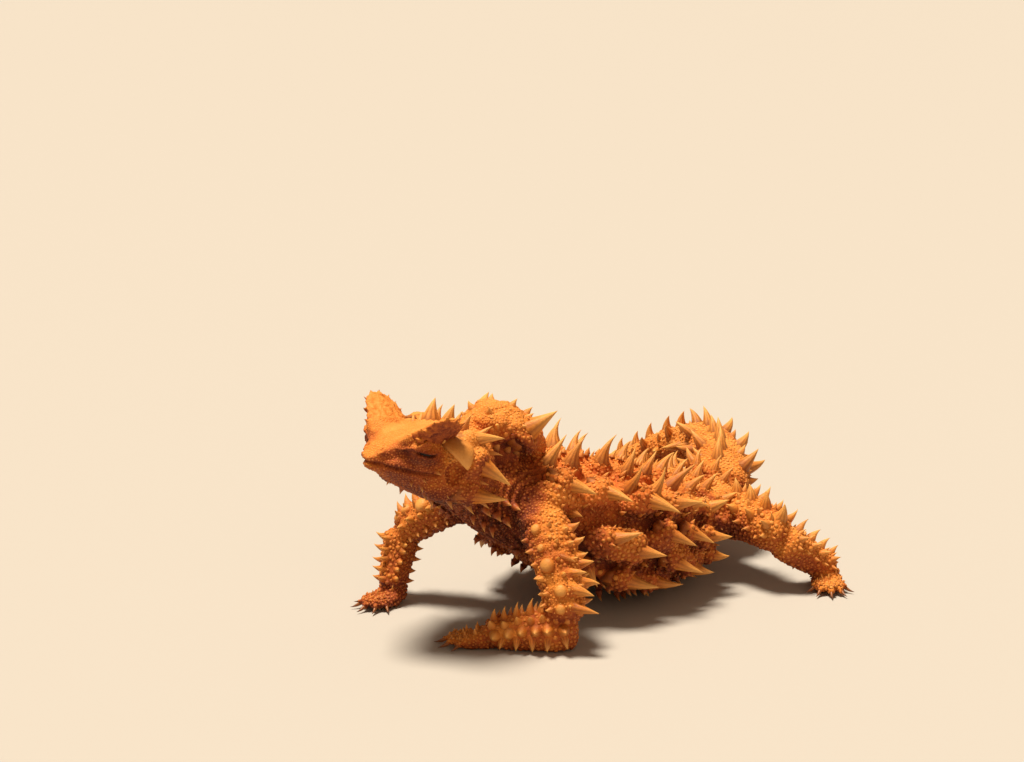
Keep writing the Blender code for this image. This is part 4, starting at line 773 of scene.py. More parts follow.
for mirror in (1, -1):
    eyeX, eyeY, eyeZ = face["eye"]
    dx, dy, dz = x - eyeX, y * mirror - eyeY, z - eyeZ
    outside = (y * mirror > 4.0)
    reach = np.sqrt((dx / 1.25) ** 2 + dz ** 2)
    lidRings = np.cos(reach * 2 * math.pi / 0.62) * smoothStep(reach, 0.5, 1.0) * smoothStep(reach, 3.0, 2.2)
    push += relief["lidRing"] * lidRings * outside * (dy > 0.2)
    slit = dx - 0.4
    slitLine = -0.25 + 0.05 * slit ** 2
    slitWide = 0.07 * np.clip(1 - (slit / 1.9) ** 2, 0, 1) + 0.08
    closing = smoothStep(np.abs(slit), 3.1, 2.3) * (dy > 0.2) * outside
    deepness = relief["slit"] * smoothStep(np.abs(slit), 2.3, 1.3) + 0.35
    push -= deepness * closing * np.exp(-((dz - slitLine) / slitWide) ** 2)
    for tall, above, wide in ((0.2, 0.5, 0.2), (0.14, -0.5, 0.2), (0.1, 1.05, 0.16)):  # rims and folds of the lids
        push += tall * closing * np.exp(-((dz - slitLine - above) / wide) ** 2)
    holeX, holeY, holeZ = face["nostril"]
    hole = np.sqrt(((x - holeX) / 1.2) ** 2 + (y * mirror - holeY) ** 2 + (z - holeZ) ** 2)
    push -= relief["nostril"] * smoothStep(hole, 0.55, 0.2)
    push += 0.14 * smoothStep(hole, 0.5, 0.7) * smoothStep(hole, 1.2, 0.8)
    earX, _, earZ = face["ear"]
    cup = np.sqrt(((x - earX) / 1.5) ** 2 + ((z - earZ) / 2.0) ** 2)
    earSide = y * mirror > 5.5
    push -= relief["ear"] * smoothStep(cup, 1.15, 0.3) * earSide
    push += 0.3 * smoothStep(cup, 0.95, 1.2) * smoothStep(cup, 1.75, 1.3) * earSide
    ridgeX = np.array((19.6, 18.6, 17.2, 15.4, 13.8, 12.2))
    ridgeZ = np.interp(x, ridgeX[::-1], np.array((0.1, 1.0, 2.2, 3.6, 4.7, 5.2))[::-1])
    canthus = smoothStep(x, 12.0, 13.4) * smoothStep(y * mirror, 0.5, 1.5)
    push += relief["canthus"] * canthus * np.exp(-((z - ridgeZ) / 0.42) ** 2)
    push -= 0.3 * canthus * np.exp(-((z - ridgeZ + 1.25) / 0.7) ** 2)
spots += normals * push[:, None]
writeSpots(skin, spots)
normals = readNormals(skin)
shoulder = np.array((45.0, 10.0, 22.0))
away = spots.copy()
away[:, 1] = np.abs(away[:, 1])
ahead, aside, above = away.T
toShoulder = np.linalg.norm(away - shoulder, axis=1)
fan = np.sin(toShoulder * 2 * math.pi / 1.5 + 2.4 * noiseAt(spots, 5.0, 3.0))
throat = smoothStep(ahead, 36, 42) * smoothStep(ahead, 62, 56) * smoothStep(above, 30, 25)
foldShare = np.maximum(smoothStep(toShoulder, 11, 6) * 0.9, throat * 0.8)
foldShare *= 1 - 0.75 * smoothStep(aside, 10.5, 13.0)
foldShare *= smoothStep(local[:, 0], 2.0, -1.0) * smoothStep(toShoulder, 3.0, 5.5)
push = relief["fold"] * fan * foldShare * smoothStep(aside, 23.0, 17.0)
push += relief["pebble"] * noiseAt(spots, 1.5, 8.0, 3) * (1 - 0.6 * smoothStep(local[:, 0], 0, 4))
push += relief["swell"] * noiseAt(spots, 4.5, 21.0, 2)
crust = smoothStep(above, 33.5, 35.5) * smoothStep(ahead, 54.0, 52.0) * smoothStep(local[:, 0], 2.0, 0.0)
push += relief["crust"] * crust * noiseAt(spots, 1.7, 31.0, 2)
hollows = (((50.0, 6.8, 31.6), 3.0, 1.5), ((41.2, 11.6, 18.6), 2.4, 0.8), ((50.0, 10.0, 25.6), 2.6, 0.8))
hollowShare = np.zeros(len(spots))
for middle, wide, deep in hollows:  # under the hump, behind the shoulder, between the rows of thorns
    share = np.exp(-(np.linalg.norm(away - np.array(middle), axis=1) / wide) ** 2)
    push -= deep * share
    hollowShare = np.maximum(hollowShare, share * min(1.0, deep))
creaseWide = 1.3
creases = (  # the grooves between the rows of thorns, and how deep
    (((43.0, 11.6, 22.1), (39.5, 13.2, 20.1), (34.7, 14.6, 20.1), (30.0, 16.2, 18.5), (24.7, 17.0, 17.3),
      (18.1, 17.0, 14.9), (10.0, 15.6, 14.4)), 1.4),
    (((41.0, 12.4, 14.0), (37.7, 13.4, 12.5), (33.5, 15.1, 11.2), (27.7, 16.5, 10.3), (22.4, 16.6, 8.7),
      (15.0, 15.2, 7.4)), 1.3),
)
for bends, deep in creases:
    apart = np.full(len(spots), 99.0)
    for start, end in zip(np.array(bends), np.array(bends)[1:]):
        run = end - start
        share = np.clip((away - start) @ run / (run @ run), 0, 1)
        apart = np.minimum(apart, np.linalg.norm(away - start - share[:, None] * run, axis=1))
    share = np.exp(-(apart / creaseWide) ** 2)
    push -= deep * share
    hollowShare = np.maximum(hollowShare, 0.8 * share)
spots += normals * push[:, None]
writeSpots(skin, spots)
normals = readNormals(skin)
skinTree = BVHTree.FromPolygons([Vector(s) for s in spots], [poly.vertices[:] for poly in skin.data.polygons])
print("skin shaped")

# How open each place is to the sky, from short looks outward over the skin; closed places get painted shade in the
# tone.
openLook = {"lift": 0.35, "spread": 1.1, "reach": 7.0}
lookWays = unit(np.array([(0, 0, 1), (0.8, 0, 0.5), (-0.8, 0, 0.5), (0, 0.8, 0.5), (0, -0.8, 0.5),
                          (0.5, 0.5, -0.3), (-0.5, -0.5, -0.3)]))
openness = np.zeros(len(spots))
for order, (spot, outward) in enumerate(zip(spots, normals)):
    start = Vector(spot + outward * openLook["lift"])
    ways = [Vector(unit(way + outward * openLook["spread"])) for way in lookWays]
    free = [skinTree.ray_cast(start, way, openLook["reach"])[0] is None for way in ways]
    openness[order] = sum(free) / len(lookWays)
print("openness read")


def treeOf(places):
    # finds the nearest of many places, by its number
    tree = KDTree(len(places))
    for order, place in enumerate(places):
        tree.insert(Vector(place), order)
    tree.balance()
    return tree


skinPlaces = treeOf(spots)


def toneAndPaintedShadeAt(places, ways, free):
    # the tone: paler on top and where open as painted light, red-brown below and in hollows as painted shade, mottled
    # by noise
    x, y, z = places.T
    headX, headY, headZ = toHead(places).T
    # painted light where the hide faces up and is open to the sky, painted shade where it is closed; the noise is
    # mottling
    tone = 0.1 + 0.36 * (0.5 + 0.5 * ways[:, 2]) + 0.42 * free + 0.16 * noiseAt(places, 7.0, 5.0, 3)

    def paintedLightPatchAt(middle, wide):  # a soft round patch on each side of the head, where light or shade is painted
        apart = np.column_stack((headX - middle[0], np.abs(headY) - middle[1], headZ - middle[2]))
        return np.exp(-(np.linalg.norm(apart, axis=1) / wide) ** 2)

    # painted light on the temple leaf; further down, painted shade round the eye under the brow horn
    leafPaintedLight = paintedLightPatchAt((8.0, 9.3, 2.8), 2.6)
    # painted shade: darker on the cheek, on the throat under the head and low on the body; paler on the top of the
    # hump and on the tail
    cheekPaintedShade = smoothStep(headX, 1.0, 4.0) * smoothStep(headZ, 4.2, 2.2) * smoothStep(np.abs(headY), 1.0, 3.5)
    throat = smoothStep(z, 31, 26) * smoothStep(x, 42, 46) * smoothStep(np.abs(y), 13, 10)
    low = smoothStep(z, 9, 4) * smoothStep(np.abs(y), 20, 16)
    crown = np.maximum(smoothStep(z, 34.5, 38.0), smoothStep(x, -13, -19))
    # the left hand is painted lighter, painted light where the head's shadow falls on it; the right hand is darker
    hand = smoothStep(x, 50, 54) * smoothStep(z, 6, 3.5) * np.where(y < -14, -0.2, 0.25 * smoothStep(x, 56, 58.5))
    tone += 0.34 * leafPaintedLight + 0.08 * crown + hand
    tone -= 0.17 * cheekPaintedShade * (1 - leafPaintedLight) + 0.12 * paintedLightPatchAt((13.4, 7.6, 2.2), 2.8) + 0.16 * throat + 0.08 * low
    return np.clip(tone, 0, 1)


def rustAt(places):
    # orange-red hide between the spines of the back, ochre elsewhere
    x, y, z = places.T
    back = smoothStep(z, 17, 24) * smoothStep(x, 46, 40) * smoothStep(x, -22, -10)
    return np.clip(back * 0.8 + 0.25 * noiseAt(places, 5.0, 15.0, 2), 0, 1)


def setAttribute(piece, name, values):
    attribute = piece.data.attributes.new(name, "FLOAT", "POINT")
    attribute.data.foreach_set("value", np.asarray(values, np.float32))


# painted shade in the hollows and in the creases between the rows of thorns
skinTone = toneAndPaintedShadeAt(spots, normals, openness) - 0.3 * hollowShare
setAttribute(skin, "tone", skinTone - 0.13)
setAttribute(skin, "rust", rustAt(spots))

# An unwrap of the body: each line has a tile, so every scale knows its place on it.
atlas = {"columns": 5, "rows": 5, "patch": 0.0015}
atlasSpots, atlasPlaces = [], []
for tile, line in enumerate(lines.values()):
    alongs, angles = gridOf(60, 40)
    atlasSpots += list(line.point(alongs, angles))
    atlasPlaces += [((tile % atlas["columns"] + 0.04 + 0.92 * along) / atlas["columns"],
                     (tile // atlas["columns"] + 0.04 + 0.92 * angle / (2 * math.pi)) / atlas["rows"])
                    for along, angle in zip(alongs, angles)]
atlasTree = treeOf(atlasSpots)


def atlasAt(places):
    return np.array([atlasPlaces[atlasTree.find(Vector(place))[1]] for place in places])


coatRows = {}


def addCopies(group, kind, roots, outward, tips, radius, flat=1.0, curve=0.0, sink=0.35, fore=0.0):
    roots, outward, tips = (np.atleast_2d(rows) for rows in (roots, outward, tips))
    coatRows.setdefault(group, []).append((kind, roots, outward, tips, (radius, flat, curve, sink, fore)))


for spine in spines:
    addCopies(spine["group"] + "Spines", spine["kind"], spine["root"], spine["outward"], spine["tip"],
              spine["foot"] * (1.0 if spine["kind"] == "dome" else 0.96), spine["flat"], spine["curve"],
              0.55 if spine["kind"] != "prickle" else 0.2, spine["fore"])

# Granules: a ring of pointed ones round the foot of each fin and dome, then the whole hide.
granuleLook = {"ringGap": 0.95, "seed": 7, "tries": 380000, "gap": 0.58, "round": 0.56, "cell": 1.2}
dice = np.random.RandomState(granuleLook["seed"])
taken = {}


def takeRoom(spot, gap):
    # keeps a place only where no other granule is within its gap
    home = tuple(int(math.floor(value / granuleLook["cell"])) for value in spot)
    for i in (-1, 0, 1):
        for j in (-1, 0, 1):
            for k in (-1, 0, 1):
                for other, otherGap in taken.get((home[0] + i, home[1] + j, home[2] + k), ()):
                    need = 0.5 * (gap + otherGap)
                    if ((spot[0] - other[0]) ** 2 + (spot[1] - other[1]) ** 2
                            + (spot[2] - other[2]) ** 2) < need * need:
                        return False
    taken.setdefault(home, []).append((tuple(spot), gap))
    return True


ringRoots, ringWays, ringSizes = [], [], []
for spine in spines:
    if spine["kind"] not in ("dome", "fin"):
        continue
    reach = spine["foot"] * 1.2
    size = 0.2 + 0.11 * spine["foot"]
    count = int(2 * math.pi * reach / (size * 2 * granuleLook["ringGap"]))
    slide = unit(np.cross(spine["outward"], (0.2, 0.3, 0.93)))
    across = np.cross(spine["outward"], slide)
    for row in range(2):
        for order in range(count):
            turn = 2 * math.pi * (order + 0.5 * row) / count
            guess = spine["root"] + (slide * math.cos(turn) + across * math.sin(turn)) * (reach + row * size * 1.8)
            near, way, _, gap = skinTree.find_nearest(Vector(guess + spine["outward"] * 0.8))
            thick = size * (1.0 - 0.25 * row) * dice.uniform(0.8, 1.2)
            if near is None or gap > 2.4 or near.z < 0.5 or not takeRoom(near, thick * 1.7):
                continue
            ringRoots.append(near)
            ringWays.append(way)
            ringSizes.append(thick)
ringRoots, ringWays, ringSizes = np.array(ringRoots), np.array(ringWays), np.array(ringSizes)
print("ring granules:", len(ringRoots))

corners = np.array([poly.vertices[:] for poly in skin.data.polygons])
a, b, c = (spots[corners[:, k]] for k in range(3))
areas = np.linalg.norm(np.cross(b - a, c - a), axis=1) / 2
picked = dice.choice(len(corners), granuleLook["tries"], p=areas / areas.sum())
share = dice.rand(len(picked), 2)
over = share.sum(1) > 1
share[over] = 1 - share[over]
seeds = a[picked] + (b[picked] - a[picked]) * share[:, :1] + (c[picked] - a[picked]) * share[:, 1:]
seedWays = unit(normals[corners[picked, 0]])
seedHead = toHead(seeds)
headX, headY, headZ = seedHead.T
ahead, aside, above = seeds[:, 0], np.abs(seeds[:, 1]), seeds[:, 2]
onFace = smoothStep(headX, -2, 1) * smoothStep(headZ, -9, -7.5) * (np.abs(headY) < 13) * (headZ < 12)
flank = (smoothStep(aside, 8, 12) * smoothStep(above, 27, 23) * smoothStep(ahead, 47, 43)
         * smoothStep(ahead, 4, 10) * smoothStep(aside, 24, 21))
smooth = onFace * smoothStep(headZ, 0.5, 3.5)
onHump = smoothStep(above, 32.0, 34.5) * smoothStep(ahead, 54.5, 52.5) * (1 - onFace)
gaps = granuleLook["gap"] - 0.14 * onFace - 0.08 * smooth + 0.14 * flank - 0.16 * onHump
onLimb = smoothStep(aside, 11.0, 13.0) * np.maximum(smoothStep(ahead, 42, 44), smoothStep(ahead, 6, 3))
gaps = gaps + 0.15 * smoothStep(seedWays[:, 2], -0.3, -0.8)
seedTree = treeOf(seeds)
clearance, nearFoot = np.full(len(seeds), 9.0), np.zeros(len(seeds))
for spine in spines:  # how far each seed lies from the horn of the spines about it
    reach = spine["tip"] - spine["root"]
    long = np.linalg.norm(reach)
    near = [item[1] for item in seedTree.find_range(Vector(spine["root"] + reach * 0.25),
                                                    long * 0.5 + spine["foot"] * 2)]
    if not near:
        continue
    profile = masters[spine["kind"]]["profile"]
    height = ((seeds[near] - spine["root"]) @ reach) / long ** 2
    radius = spine["foot"] * np.interp(height, profile[:, 0], profile[:, 1])
    apart = np.linalg.norm(seeds[near] - spine["root"] - np.outer(height, reach), axis=1) - radius
    apart = np.where(height > 1, 9.0, apart)
    closer = apart < clearance[near]
    clearance[np.array(near)[closer]] = apart[closer]
    nearFoot[np.array(near)[closer]] = spine["foot"]
gaps += 0.16 * np.clip(nearFoot - 0.6, 0, 2) * np.exp(-np.clip(clearance, 0, 9) / 1.1)
print("clearance read")
eyeMiddles = [inHead(np.array(face["eye"]) * (1, mirror, 1))[0] for mirror in (1, -1)]
kept = []
for order, seed in enumerate(seeds):
    head = seedHead[order]
    onSole = seed[2] < 0.4
    onLips = head[0] > 10 and abs(head[2] - face["mouthHeight"]) < 0.5
    if onSole or onLips:
        continue
    if min(np.linalg.norm(seed - middle) for middle in eyeMiddles) < 3.4 and abs(head[2] - 2.3) < 1.1:
        continue
    varied = max(onLimb[order], 0.8 * onHump[order]) * 0.9  # larger scales lie between small ones here
    gap = gaps[order] * (dice.uniform(0.75, 1.2) + varied * dice.uniform() ** 3)
    if clearance[order] > -0.12 and takeRoom(seed, gap):
        kept.append((order, gap))
print("hide granules:", len(kept))
order = np.array([item[0] for item in kept])
gap = np.array([item[1] for item in kept])
hideRoots, hideWays = seeds[order], seedWays[order]
rear = np.tile((-0.5, 0.0, 0.1), (len(hideRoots), 1))
rear[np.array([head[0] > 0 for head in seedHead[order]])] *= 0.3
homeNames = ("head", "arms", "legs", "tail", "nape", "middle", "rump")


def homeOf(place):
    # the piece that a granule belongs to
    x, y, z = place
    if x < -13 and abs(y) < 20 or y < -24 and -8 < x < 10:
        return "tail"
    if x > 40 and (abs(y) > 10.5 or z < 11):
        return "arms"
    if toHead(place)[0, 0] > -2.5:
        return "head"
    if abs(y) > 14.5 and x < 4:
        return "legs"
    return "nape" if x > 33 else "middle" if x > 17 else "rump"


throatShare = smoothStep(above[order], 30, 26) * smoothStep(ahead[order], 44, 47) * smoothStep(aside[order], 11, 9)
homes = np.array([homeOf(place) for place in hideRoots])
pointed = dice.rand(len(hideRoots)) < np.where(homes == "head", 0.02, 0.06 + 0.1 * flank[order]) * (1 - onHump[order])
high = gap * np.where(pointed, 0.85, 0.3) * dice.uniform(0.8, 1.25, len(gap))
high = high * np.where(homes == "head", 0.75 - 0.3 * smooth[order], 1.0 - 0.3 * onHump[order] - 0.5 * throatShare)
hideAim = unit(hideWays + rear * pointed[:, None])
for home in homeNames:
    for kind, chosen in (("granule", ~pointed), ("prickle", pointed)):
        use = (homes == home) & chosen
        addCopies(home + "Granules", kind, hideRoots[use], hideWays[use],
                  hideRoots[use] + hideAim[use] * high[use, None], gap[use] * granuleLook["round"], sink=0.12)
ringHomes = np.array([homeOf(place) for place in ringRoots])
for home in homeNames:
    use = ringHomes == home
    tall = ringSizes[use] * dice.uniform(0.8, 1.3, use.sum())
    addCopies(home + "Granules", "prickle", ringRoots[use], ringWays[use],
              ringRoots[use] + ringWays[use] * tall[:, None], ringSizes[use] * 1.08, sink=0.2)


def rootTones(kind, roots, outward):
    # spines take the tone at their root, with its painted light and shade, above a floor for each kind; the temple
    # leaf's high floor is painted light; granules take the skin's tone with its painted shade
    least = {"greatSpine": 0.68, "dome": 0.66, "fin": 0.5, "spine": 0.48, "leaf": 0.86}
    if kind in least:
        return np.clip(toneAndPaintedShadeAt(roots, outward, np.full(len(roots), 0.8)) + 0.08, least[kind], 0.92)
    near = [skinPlaces.find(Vector(root))[1] for root in roots]
    return skinTone[near]


hornyShare = {"granule": 0.52, "dome": 0.75, "leaf": 0.7, "prickle": 0.9}  # how far the tip's colour comes
coat = {}
for group, rows in coatRows.items():
    allSpots, allFaces, bake, base = [], [], [], 0
    marks = {"tipShare": [], "tone": [], "rust": [], "tint": [], "groove": []}
    for kind, roots, outward, ends, sizes in rows:
        if not len(roots):
            continue
        master = masters[kind]
        copies = copiesOf(master, roots, outward, ends, *sizes)
        copies[:, :, 2] = np.maximum(copies[:, :, 2], 0.02)
        flatSpots, faces = stacked(master, copies)
        size = len(master["spots"])
        allSpots.append(flatSpots)
        allFaces.append(faces + base)
        base += len(flatSpots)
        marks["tipShare"].append(np.tile(master["spots"][:, 2] * hornyShare.get(kind, 1.0), len(roots)))
        marks["tone"].append(np.repeat(rootTones(kind, roots, outward), size))
        marks["rust"].append(np.repeat(rustAt(roots) * (1.0 if kind in ("granule", "prickle") else 0.2), size))
        marks["groove"].append(np.tile(master["groove"], len(roots)))
        marks["tint"].append(np.repeat(dice.rand(len(roots)), size))
        bake.append((atlasAt(roots)[:, None, :] + master["spots"][None, :, :2] * atlas["patch"]).reshape(-1, 2))
    spotsHere, facesHere = np.concatenate(allSpots), np.concatenate(allFaces)
    mesh = bpy.data.meshes.new(group)
    mesh.vertices.add(len(spotsHere))
    mesh.vertices.foreach_set("co", toFrame(spotsHere).astype(np.float32).ravel())
    mesh.loops.add(len(facesHere) * 3)
    mesh.loops.foreach_set("vertex_index", facesHere.astype(np.int32).ravel())
    mesh.polygons.add(len(facesHere))
    mesh.polygons.foreach_set("loop_start", np.arange(0, len(facesHere) * 3, 3, dtype=np.int32))
    mesh.update(calc_edges=True)
    mesh.shade_smooth()
    uvMap = mesh.uv_layers.new(name="OFBake")
    uvMap.data.foreach_set("uv", np.concatenate(bake)[facesHere.ravel()].astype(np.float32).ravel())
    piece = bpy.data.objects.new(group, mesh)
    bpy.context.collection.objects.link(piece)
    for name, values in marks.items():
        setAttribute(piece, name, np.concatenate(values))
    coat[group] = piece
    print(group, len(facesHere), "triangles")

# The brow horns: broad knobbled blades with small spikes on their edges.
hornLook = {"voxel": 0.17, "knob": 0.16, "edge": 0.45, "rib": 0.05, "ribGap": 1.3}
hornSpikes = (  # root, tip, foot radius in the head's frame
    ((15.4, 7.6, 4.6), (16.8, 7.9, 5.0), 0.75), ((15.1, 8.9, 6.2), (16.5, 9.3, 6.8), 0.7),
    ((14.6, 10.0, 7.6), (15.6, 10.8, 8.6), 0.7), ((13.4, 10.9, 8.6), (13.7, 11.9, 9.8), 0.75),
    ((11.9, 11.2, 8.9), (11.3, 12.4, 9.9), 0.9), ((10.4, 10.8, 8.4), (9.4, 11.8, 9.2), 0.8),
    ((9.6, 9.8, 7.7), (8.5, 10.5, 8.4), 0.7), ((9.2, 8.6, 6.8), (8.1, 9.1, 7.5), 0.75),
    ((8.9, 7.3, 5.9), (7.7, 7.7, 6.4), 0.7), ((15.9, 6.4, 3.4), (17.0, 6.7, 3.5), 0.6),
)
horns = {}
for side, mirror in (("Left", 1), ("Right", -1)):
    line = lines["horn" + side]
    hornParts = [loft(line, 60, 56, 0.12, 1.0, 0.0, 0.7)]
    for base, tip, foot in hornSpikes:
        ends = inHead(np.array((base, tip)) * (1, mirror, 1))
        copies = copiesOf(masters["spine"], ends[0], unit(ends[1] - ends[0]), ends[1], foot, sink=0.5)
        hornParts.append(stacked(masters["spine"], copies))
    horn = newPiece("horn" + side, *joined(hornParts))
    applied(horn, "REMESH", mode="VOXEL", voxel_size=hornLook["voxel"] * mm, use_smooth_shade=True)
    applied(horn, "SMOOTH", factor=0.5, iterations=2)
    hornSpots, hornWays = readSpots(horn), readNormals(horn)
    flatWay = unit(np.cross(line.frame(np.array([0.5]))[0][0], line.frame(np.array([0.5]))[1][0]))
    edge = 1 - np.abs(hornWays @ flatWay)
    knobs = 0.6 * noiseAt(hornSpots, 0.8, 2.0, 2) + 0.8 * (
        0.45 - np.array([noise.voronoi(Vector(spot) / 0.62)[0][0] for spot in hornSpots]))
    ribs = np.sin(toHead(hornSpots)[:, 0] * 2 * math.pi / hornLook["ribGap"] + 3 * noiseAt(hornSpots, 3.0, 6.0, 1))
    hornSpots += hornWays * (hornLook["knob"] * knobs + hornLook["edge"] * edge ** 2 * knobs
                             + hornLook["rib"] * ribs * (1 - edge))[:, None]
    writeSpots(horn, hornSpots)
    # painted light: paler where the horn faces up, and paler on the knobs than between them
    setAttribute(horn, "tone", np.clip(0.6 + 0.24 * hornWays[:, 2] + 0.2 * knobs, 0, 1))
    setAttribute(horn, "rust", np.zeros(len(hornSpots)))
    horns[side] = horn
    print("horn", side, len(horn.data.polygons), "faces")

# The eyes behind the slits, and the claws.
eyes = {}
for side, mirror in (("Left", 1), ("Right", -1)):
    bpy.ops.object.select_all(action="DESELECT")
    bpy.ops.mesh.primitive_uv_sphere_add(segments=40, ring_count=24, radius=face["eyeRadius"] * mm)
    eye = bpy.context.object
    eye.name = "eye" + side
    eye.location = toFrame(inHead(np.array(face["eye"]) * (1, mirror, 1))[0])
    bpy.ops.object.transform_apply(location=True, rotation=True, scale=True)
    bpy.ops.object.shade_smooth()
    eyes[side] = eye
clawMaster = modelSpike("claw", 10, ((0, 1), (0.15, 0.9), (0.35, 0.72), (0.55, 0.5), (0.75, 0.28), (0.9, 0.12),
                                     (1, 0.03)))
clawRoots, clawWays, clawTips = [], [], []
for name, (heelX, heelY, heading, size) in footPrints.items():
    for toeLine, spread in zip(toeLines[name], toes["spread"]):
        way = levelWay(heading + spread)
        root = toeLine.line[-1] + np.array((0, 0, 0.15))
        clawRoots.append(root - way * 0.2)
        clawWays.append(way)
        clawTips.append(root + way * toes["claw"] * 0.86 + np.array((0, 0, -0.8)))
clawSpots, clawFaces = stacked(clawMaster, copiesOf(clawMaster, clawRoots, clawWays, clawTips, 0.46, 0.8, -0.12, 0.3))
clawSpots[:, 2] = np.maximum(clawSpots[:, 2], 0.03)
claws = newPiece("claws", clawSpots, clawFaces)
claws.data.shade_smooth()
setAttribute(claws, "tipShare", np.tile(clawMaster["spots"][:, 2], len(clawRoots)))
print("horns, eyes and claws made")


# Materials.
def linear(hexCode):
    channels = [int(hexCode[i:i + 2], 16) / 255 for i in (1, 3, 5)]
    return tuple(c / 12.92 if c <= 0.04045 else ((c + 0.055) / 1.055) ** 2.4 for c in channels) + (1.0,)


def addNode(tree, kind, inputs=None, **settings):
    # one node with its settings and its inputs, each a number, a colour or a link
    node = tree.nodes.new(kind)
    for key, value in settings.items():
        if hasattr(node, key):
            setattr(node, key, value)
        else:
            node.inputs[key.replace("_", " ")].default_value = value
    for key, source in (inputs or {}).items():
        if isinstance(source, (float, tuple)):
            node.inputs[key].default_value = source
        else:
            tree.links.new(source, node.inputs[key])
    return node


# The ramp runs from painted shade to painted light. "foot" is painted shade at the base of each spine and granule;
# "groove" is painted shade in the grooves between the ridges, also dark streaks along the horn.
hideLook = {
    "ramp": ((0.1, "#451205"), (0.34, "#6f270a"), (0.55, "#a95118"), (0.74, "#cf7c28"), (0.95, "#e39a49")),
    "rust": "#d36a24", "rustShare": 0.55, "dust": "#e58a38", "foot": "#5c1b04", "groove": "#7c3a10",
    "tip": "#f2bb66", "odd": "#93420f",
    "mottle": (1.1, 4.0, 0.6), "speck": (0.3, 2.0, 0.5), "wrinkle": (0.8, 5.0, 0.65),  # size in mm, detail, roughness
}


def hideMaterial(name, roughness, grain, grainDepth, tipped=False):
    # dry keratin hide dusted with iron-red sand: matt, with pale worn tips, and painted light and shade in its tone
    material = bpy.data.materials.new(name)
    material.use_nodes = True
    tree = material.node_tree
    shader = tree.nodes["Principled BSDF"]
    place = addNode(tree, "ShaderNodeTexCoord").outputs["Object"]
    mottle, speck, wrinkle = (
        addNode(tree, "ShaderNodeTexNoise", {"Vector": place}, Scale=1 / (size * mm), Detail=detail,
                Roughness=rough).outputs["Fac"]
        for size, detail, rough in (hideLook["mottle"], hideLook["speck"], hideLook["wrinkle"]))
    marks = {mark: addNode(tree, "ShaderNodeAttribute", attribute_name=mark).outputs["Fac"]
             for mark in ("tone", "rust") + (("tipShare", "groove", "tint") if tipped else ())}
    spread = addNode(tree, "ShaderNodeMath", {0: mottle, 1: 0.34, 2: -0.17}, operation="MULTIPLY_ADD")
    shade = addNode(tree, "ShaderNodeMath", {0: marks["tone"], 1: spread.outputs[0]}, operation="ADD")
    ramp = addNode(tree, "ShaderNodeValToRGB", {"Fac": shade.outputs[0]})  # from painted shade in hollows and below to painted light on tops, mottled
    stops = ramp.color_ramp.elements
    while len(stops) < len(hideLook["ramp"]):
        stops.new(0.5)
    for stop, (position, code) in zip(stops, hideLook["ramp"]):
        stop.position, stop.color = position, linear(code)
    colour = ramp.outputs["Color"]
    layers = [("rust", marks["rust"], 0.0, 1.0, 0.0, hideLook["rustShare"]), ("dust", speck, 0.55, 0.75, 0.0, 0.35)]
    if tipped:
        # painted shade at the foot of each copy, where it meets the hide, and in the grooves between the ridges
        layers += [("foot", marks["tipShare"], 0.0, 0.3, 0.72, 0.0), ("groove", marks["groove"], 0.3, -0.8, 0.0, 0.5),
                   ("tip", marks["tipShare"], 0.35, 1.0, 0.0, 0.75), ("odd", marks["tint"], 0.6, 1.0, 0.0, 0.3)]
    for layer, source, low, high, least, most in layers:
        share = addNode(tree, "ShaderNodeMapRange", {"Value": source}, From_Min=low, From_Max=high,
                        To_Min=least, To_Max=most)
        mixed = addNode(tree, "ShaderNodeMix", {0: share.outputs["Result"], 6: colour, 7: linear(hideLook[layer])},
                        data_type="RGBA")
        colour = mixed.outputs[2]
    tree.links.new(colour, shader.inputs["Base Color"])
    shader.inputs["Roughness"].default_value = roughness
    shader.inputs["IOR"].default_value = 1.5
    shader.inputs["Specular IOR Level"].default_value = 0.35
    cells = addNode(tree, "ShaderNodeTexVoronoi", {"Vector": place}, Scale=1 / (grain * mm))
    rounded = addNode(tree, "ShaderNodeMapRange", {"Value": cells.outputs["Distance"]}, From_Min=0.0, From_Max=0.7,
                      To_Min=1.0, To_Max=0.0)
    height = addNode(tree, "ShaderNodeMath", {0: rounded.outputs["Result"], 1: wrinkle}, operation="ADD")
    bump = addNode(tree, "ShaderNodeBump", {"Height": height.outputs[0]}, Strength=0.8, Distance=grainDepth * mm)
    tree.links.new(bump.outputs["Normal"], shader.inputs["Normal"])
    return material


skinHide = hideMaterial("granular lizard hide", 0.78, 0.34, 0.12)
spineHorn = hideMaterial("ridged horn of the spines", 0.55, 0.22, 0.05, True)
granuleHorn = hideMaterial("dusty horn granules", 0.68, 0.2, 0.04, True)
browHorn = hideMaterial("knobbled horn of the brow", 0.72, 0.3, 0.1)


def plainMaterial(name, hexCode, roughness, specular=0.5):
    # a finish of one colour
    material = bpy.data.materials.new(name)
    material.use_nodes = True
    shader = material.node_tree.nodes["Principled BSDF"]
    shader.inputs["Base Color"].default_value = linear(hexCode)
    shader.inputs["Roughness"].default_value = roughness
    shader.inputs["Specular IOR Level"].default_value = specular
    return material


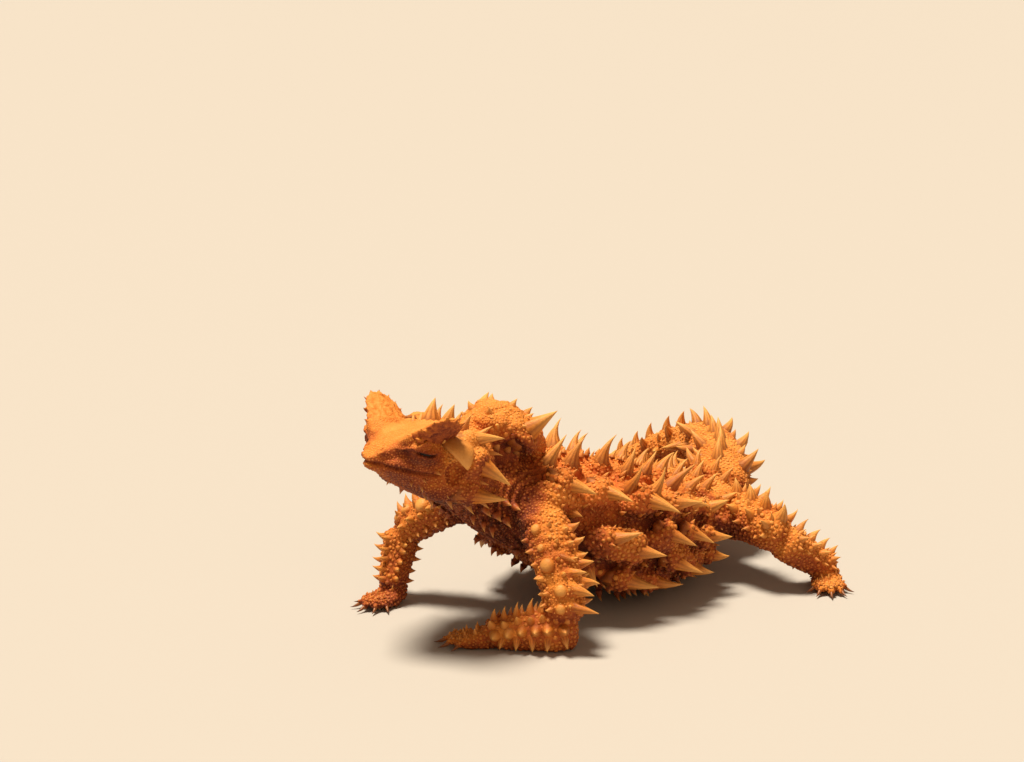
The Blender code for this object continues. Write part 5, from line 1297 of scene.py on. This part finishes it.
eyeWet = plainMaterial("wet dark eye", "#140905", 0.32, 0.25)  # a moist ball in the shade of its lids
clawHorn = plainMaterial("worn brown claw", "#4a2410", 0.42)  # keratin rubbed smooth, darker at its tip
clawTree = clawHorn.node_tree
clawTip = addNode(clawTree, "ShaderNodeAttribute", attribute_name="tipShare").outputs["Fac"]
clawColour = addNode(clawTree, "ShaderNodeMix", {0: clawTip, 6: linear("#a8642c"), 7: linear("#4a2410")},
                     data_type="RGBA").outputs[2]
clawTree.links.new(clawColour, clawTree.nodes["Principled BSDF"].inputs["Base Color"])


def finish(piece, material, slot, *nodes):
    piece.data.materials.clear()
    piece.data.materials.append(material)
    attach(piece, "root")
    if nodes:
        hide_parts(*nodes)


flesh = [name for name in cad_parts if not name.startswith(("horn_", "eye_"))]
finish(skin, skinHide, "skin", *flesh)
for group, piece in coat.items():
    finish(piece, spineHorn if group.endswith("Spines") else granuleHorn, "skin")
for side in ("Left", "Right"):
    finish(horns[side], browHorn, "horn", "horn_brow_" + side.lower())
    finish(eyes[side], eyeWet, "eye", "eye_" + side.lower())
finish(claws, clawHorn, "horn")
print("materials set")

# Plain pale floor, soft studio light and the camera.
studio = {"floor": 8.0, "key": 6.0, "keyAngle": 15.8, "fill": 0.42, "fillAngle": 44.0, "sky": 0.24}
bpy.ops.object.select_all(action="DESELECT")
bpy.ops.mesh.primitive_plane_add(size=studio["floor"])
floor = bpy.context.object
floor.name = "floor"
floor.data.materials.append(plainMaterial("matt pale studio floor", "#b0adaa", 0.9))

cameraPlace = {"at": (341.3, 323.1, 155.1), "yaw": -2.31517, "pitch": -0.24831, "lens": 90.0}
bpy.ops.object.camera_add(location=toFrame(cameraPlace["at"]),
                          rotation=(math.pi / 2 + cameraPlace["pitch"], 0, cameraPlace["yaw"] - math.pi / 2))
camera = bpy.context.object
camera.data.lens = cameraPlace["lens"]
camera.data.sensor_width = 36.0
camera.data.clip_start = 0.01
camera.data.clip_end = 20.0
bpy.context.scene.camera = camera


def addLamp(name, place, angle, strength, hexCode):
    # a softbox so far off that the whole floor is lit alike
    bpy.ops.object.light_add(type="SUN", location=toFrame(place))
    lamp = bpy.context.object
    lamp.name = name
    lamp.data.angle = math.radians(angle)
    lamp.data.energy = strength
    lamp.data.color = linear(hexCode)[:3]
    way = Vector(toFrame((30, 0, 15))) - lamp.location
    lamp.rotation_euler = way.to_track_quat("-Z", "Y").to_euler()


addLamp("keySoftbox", (180, -200, 1215), studio["keyAngle"], studio["key"], "#fff0d8")
addLamp("fillSoftbox", (450, 1180, 640), studio["fillAngle"], studio["fill"], "#ffd0a4")
world = bpy.data.worlds.new("pale room")
world.use_nodes = True
world.node_tree.nodes["Background"].inputs["Color"].default_value = linear("#f7dcbc")
world.node_tree.nodes["Background"].inputs["Strength"].default_value = studio["sky"]
bpy.context.scene.world = world
bpy.context.scene.view_settings.view_transform = "Standard"
print("studio set")
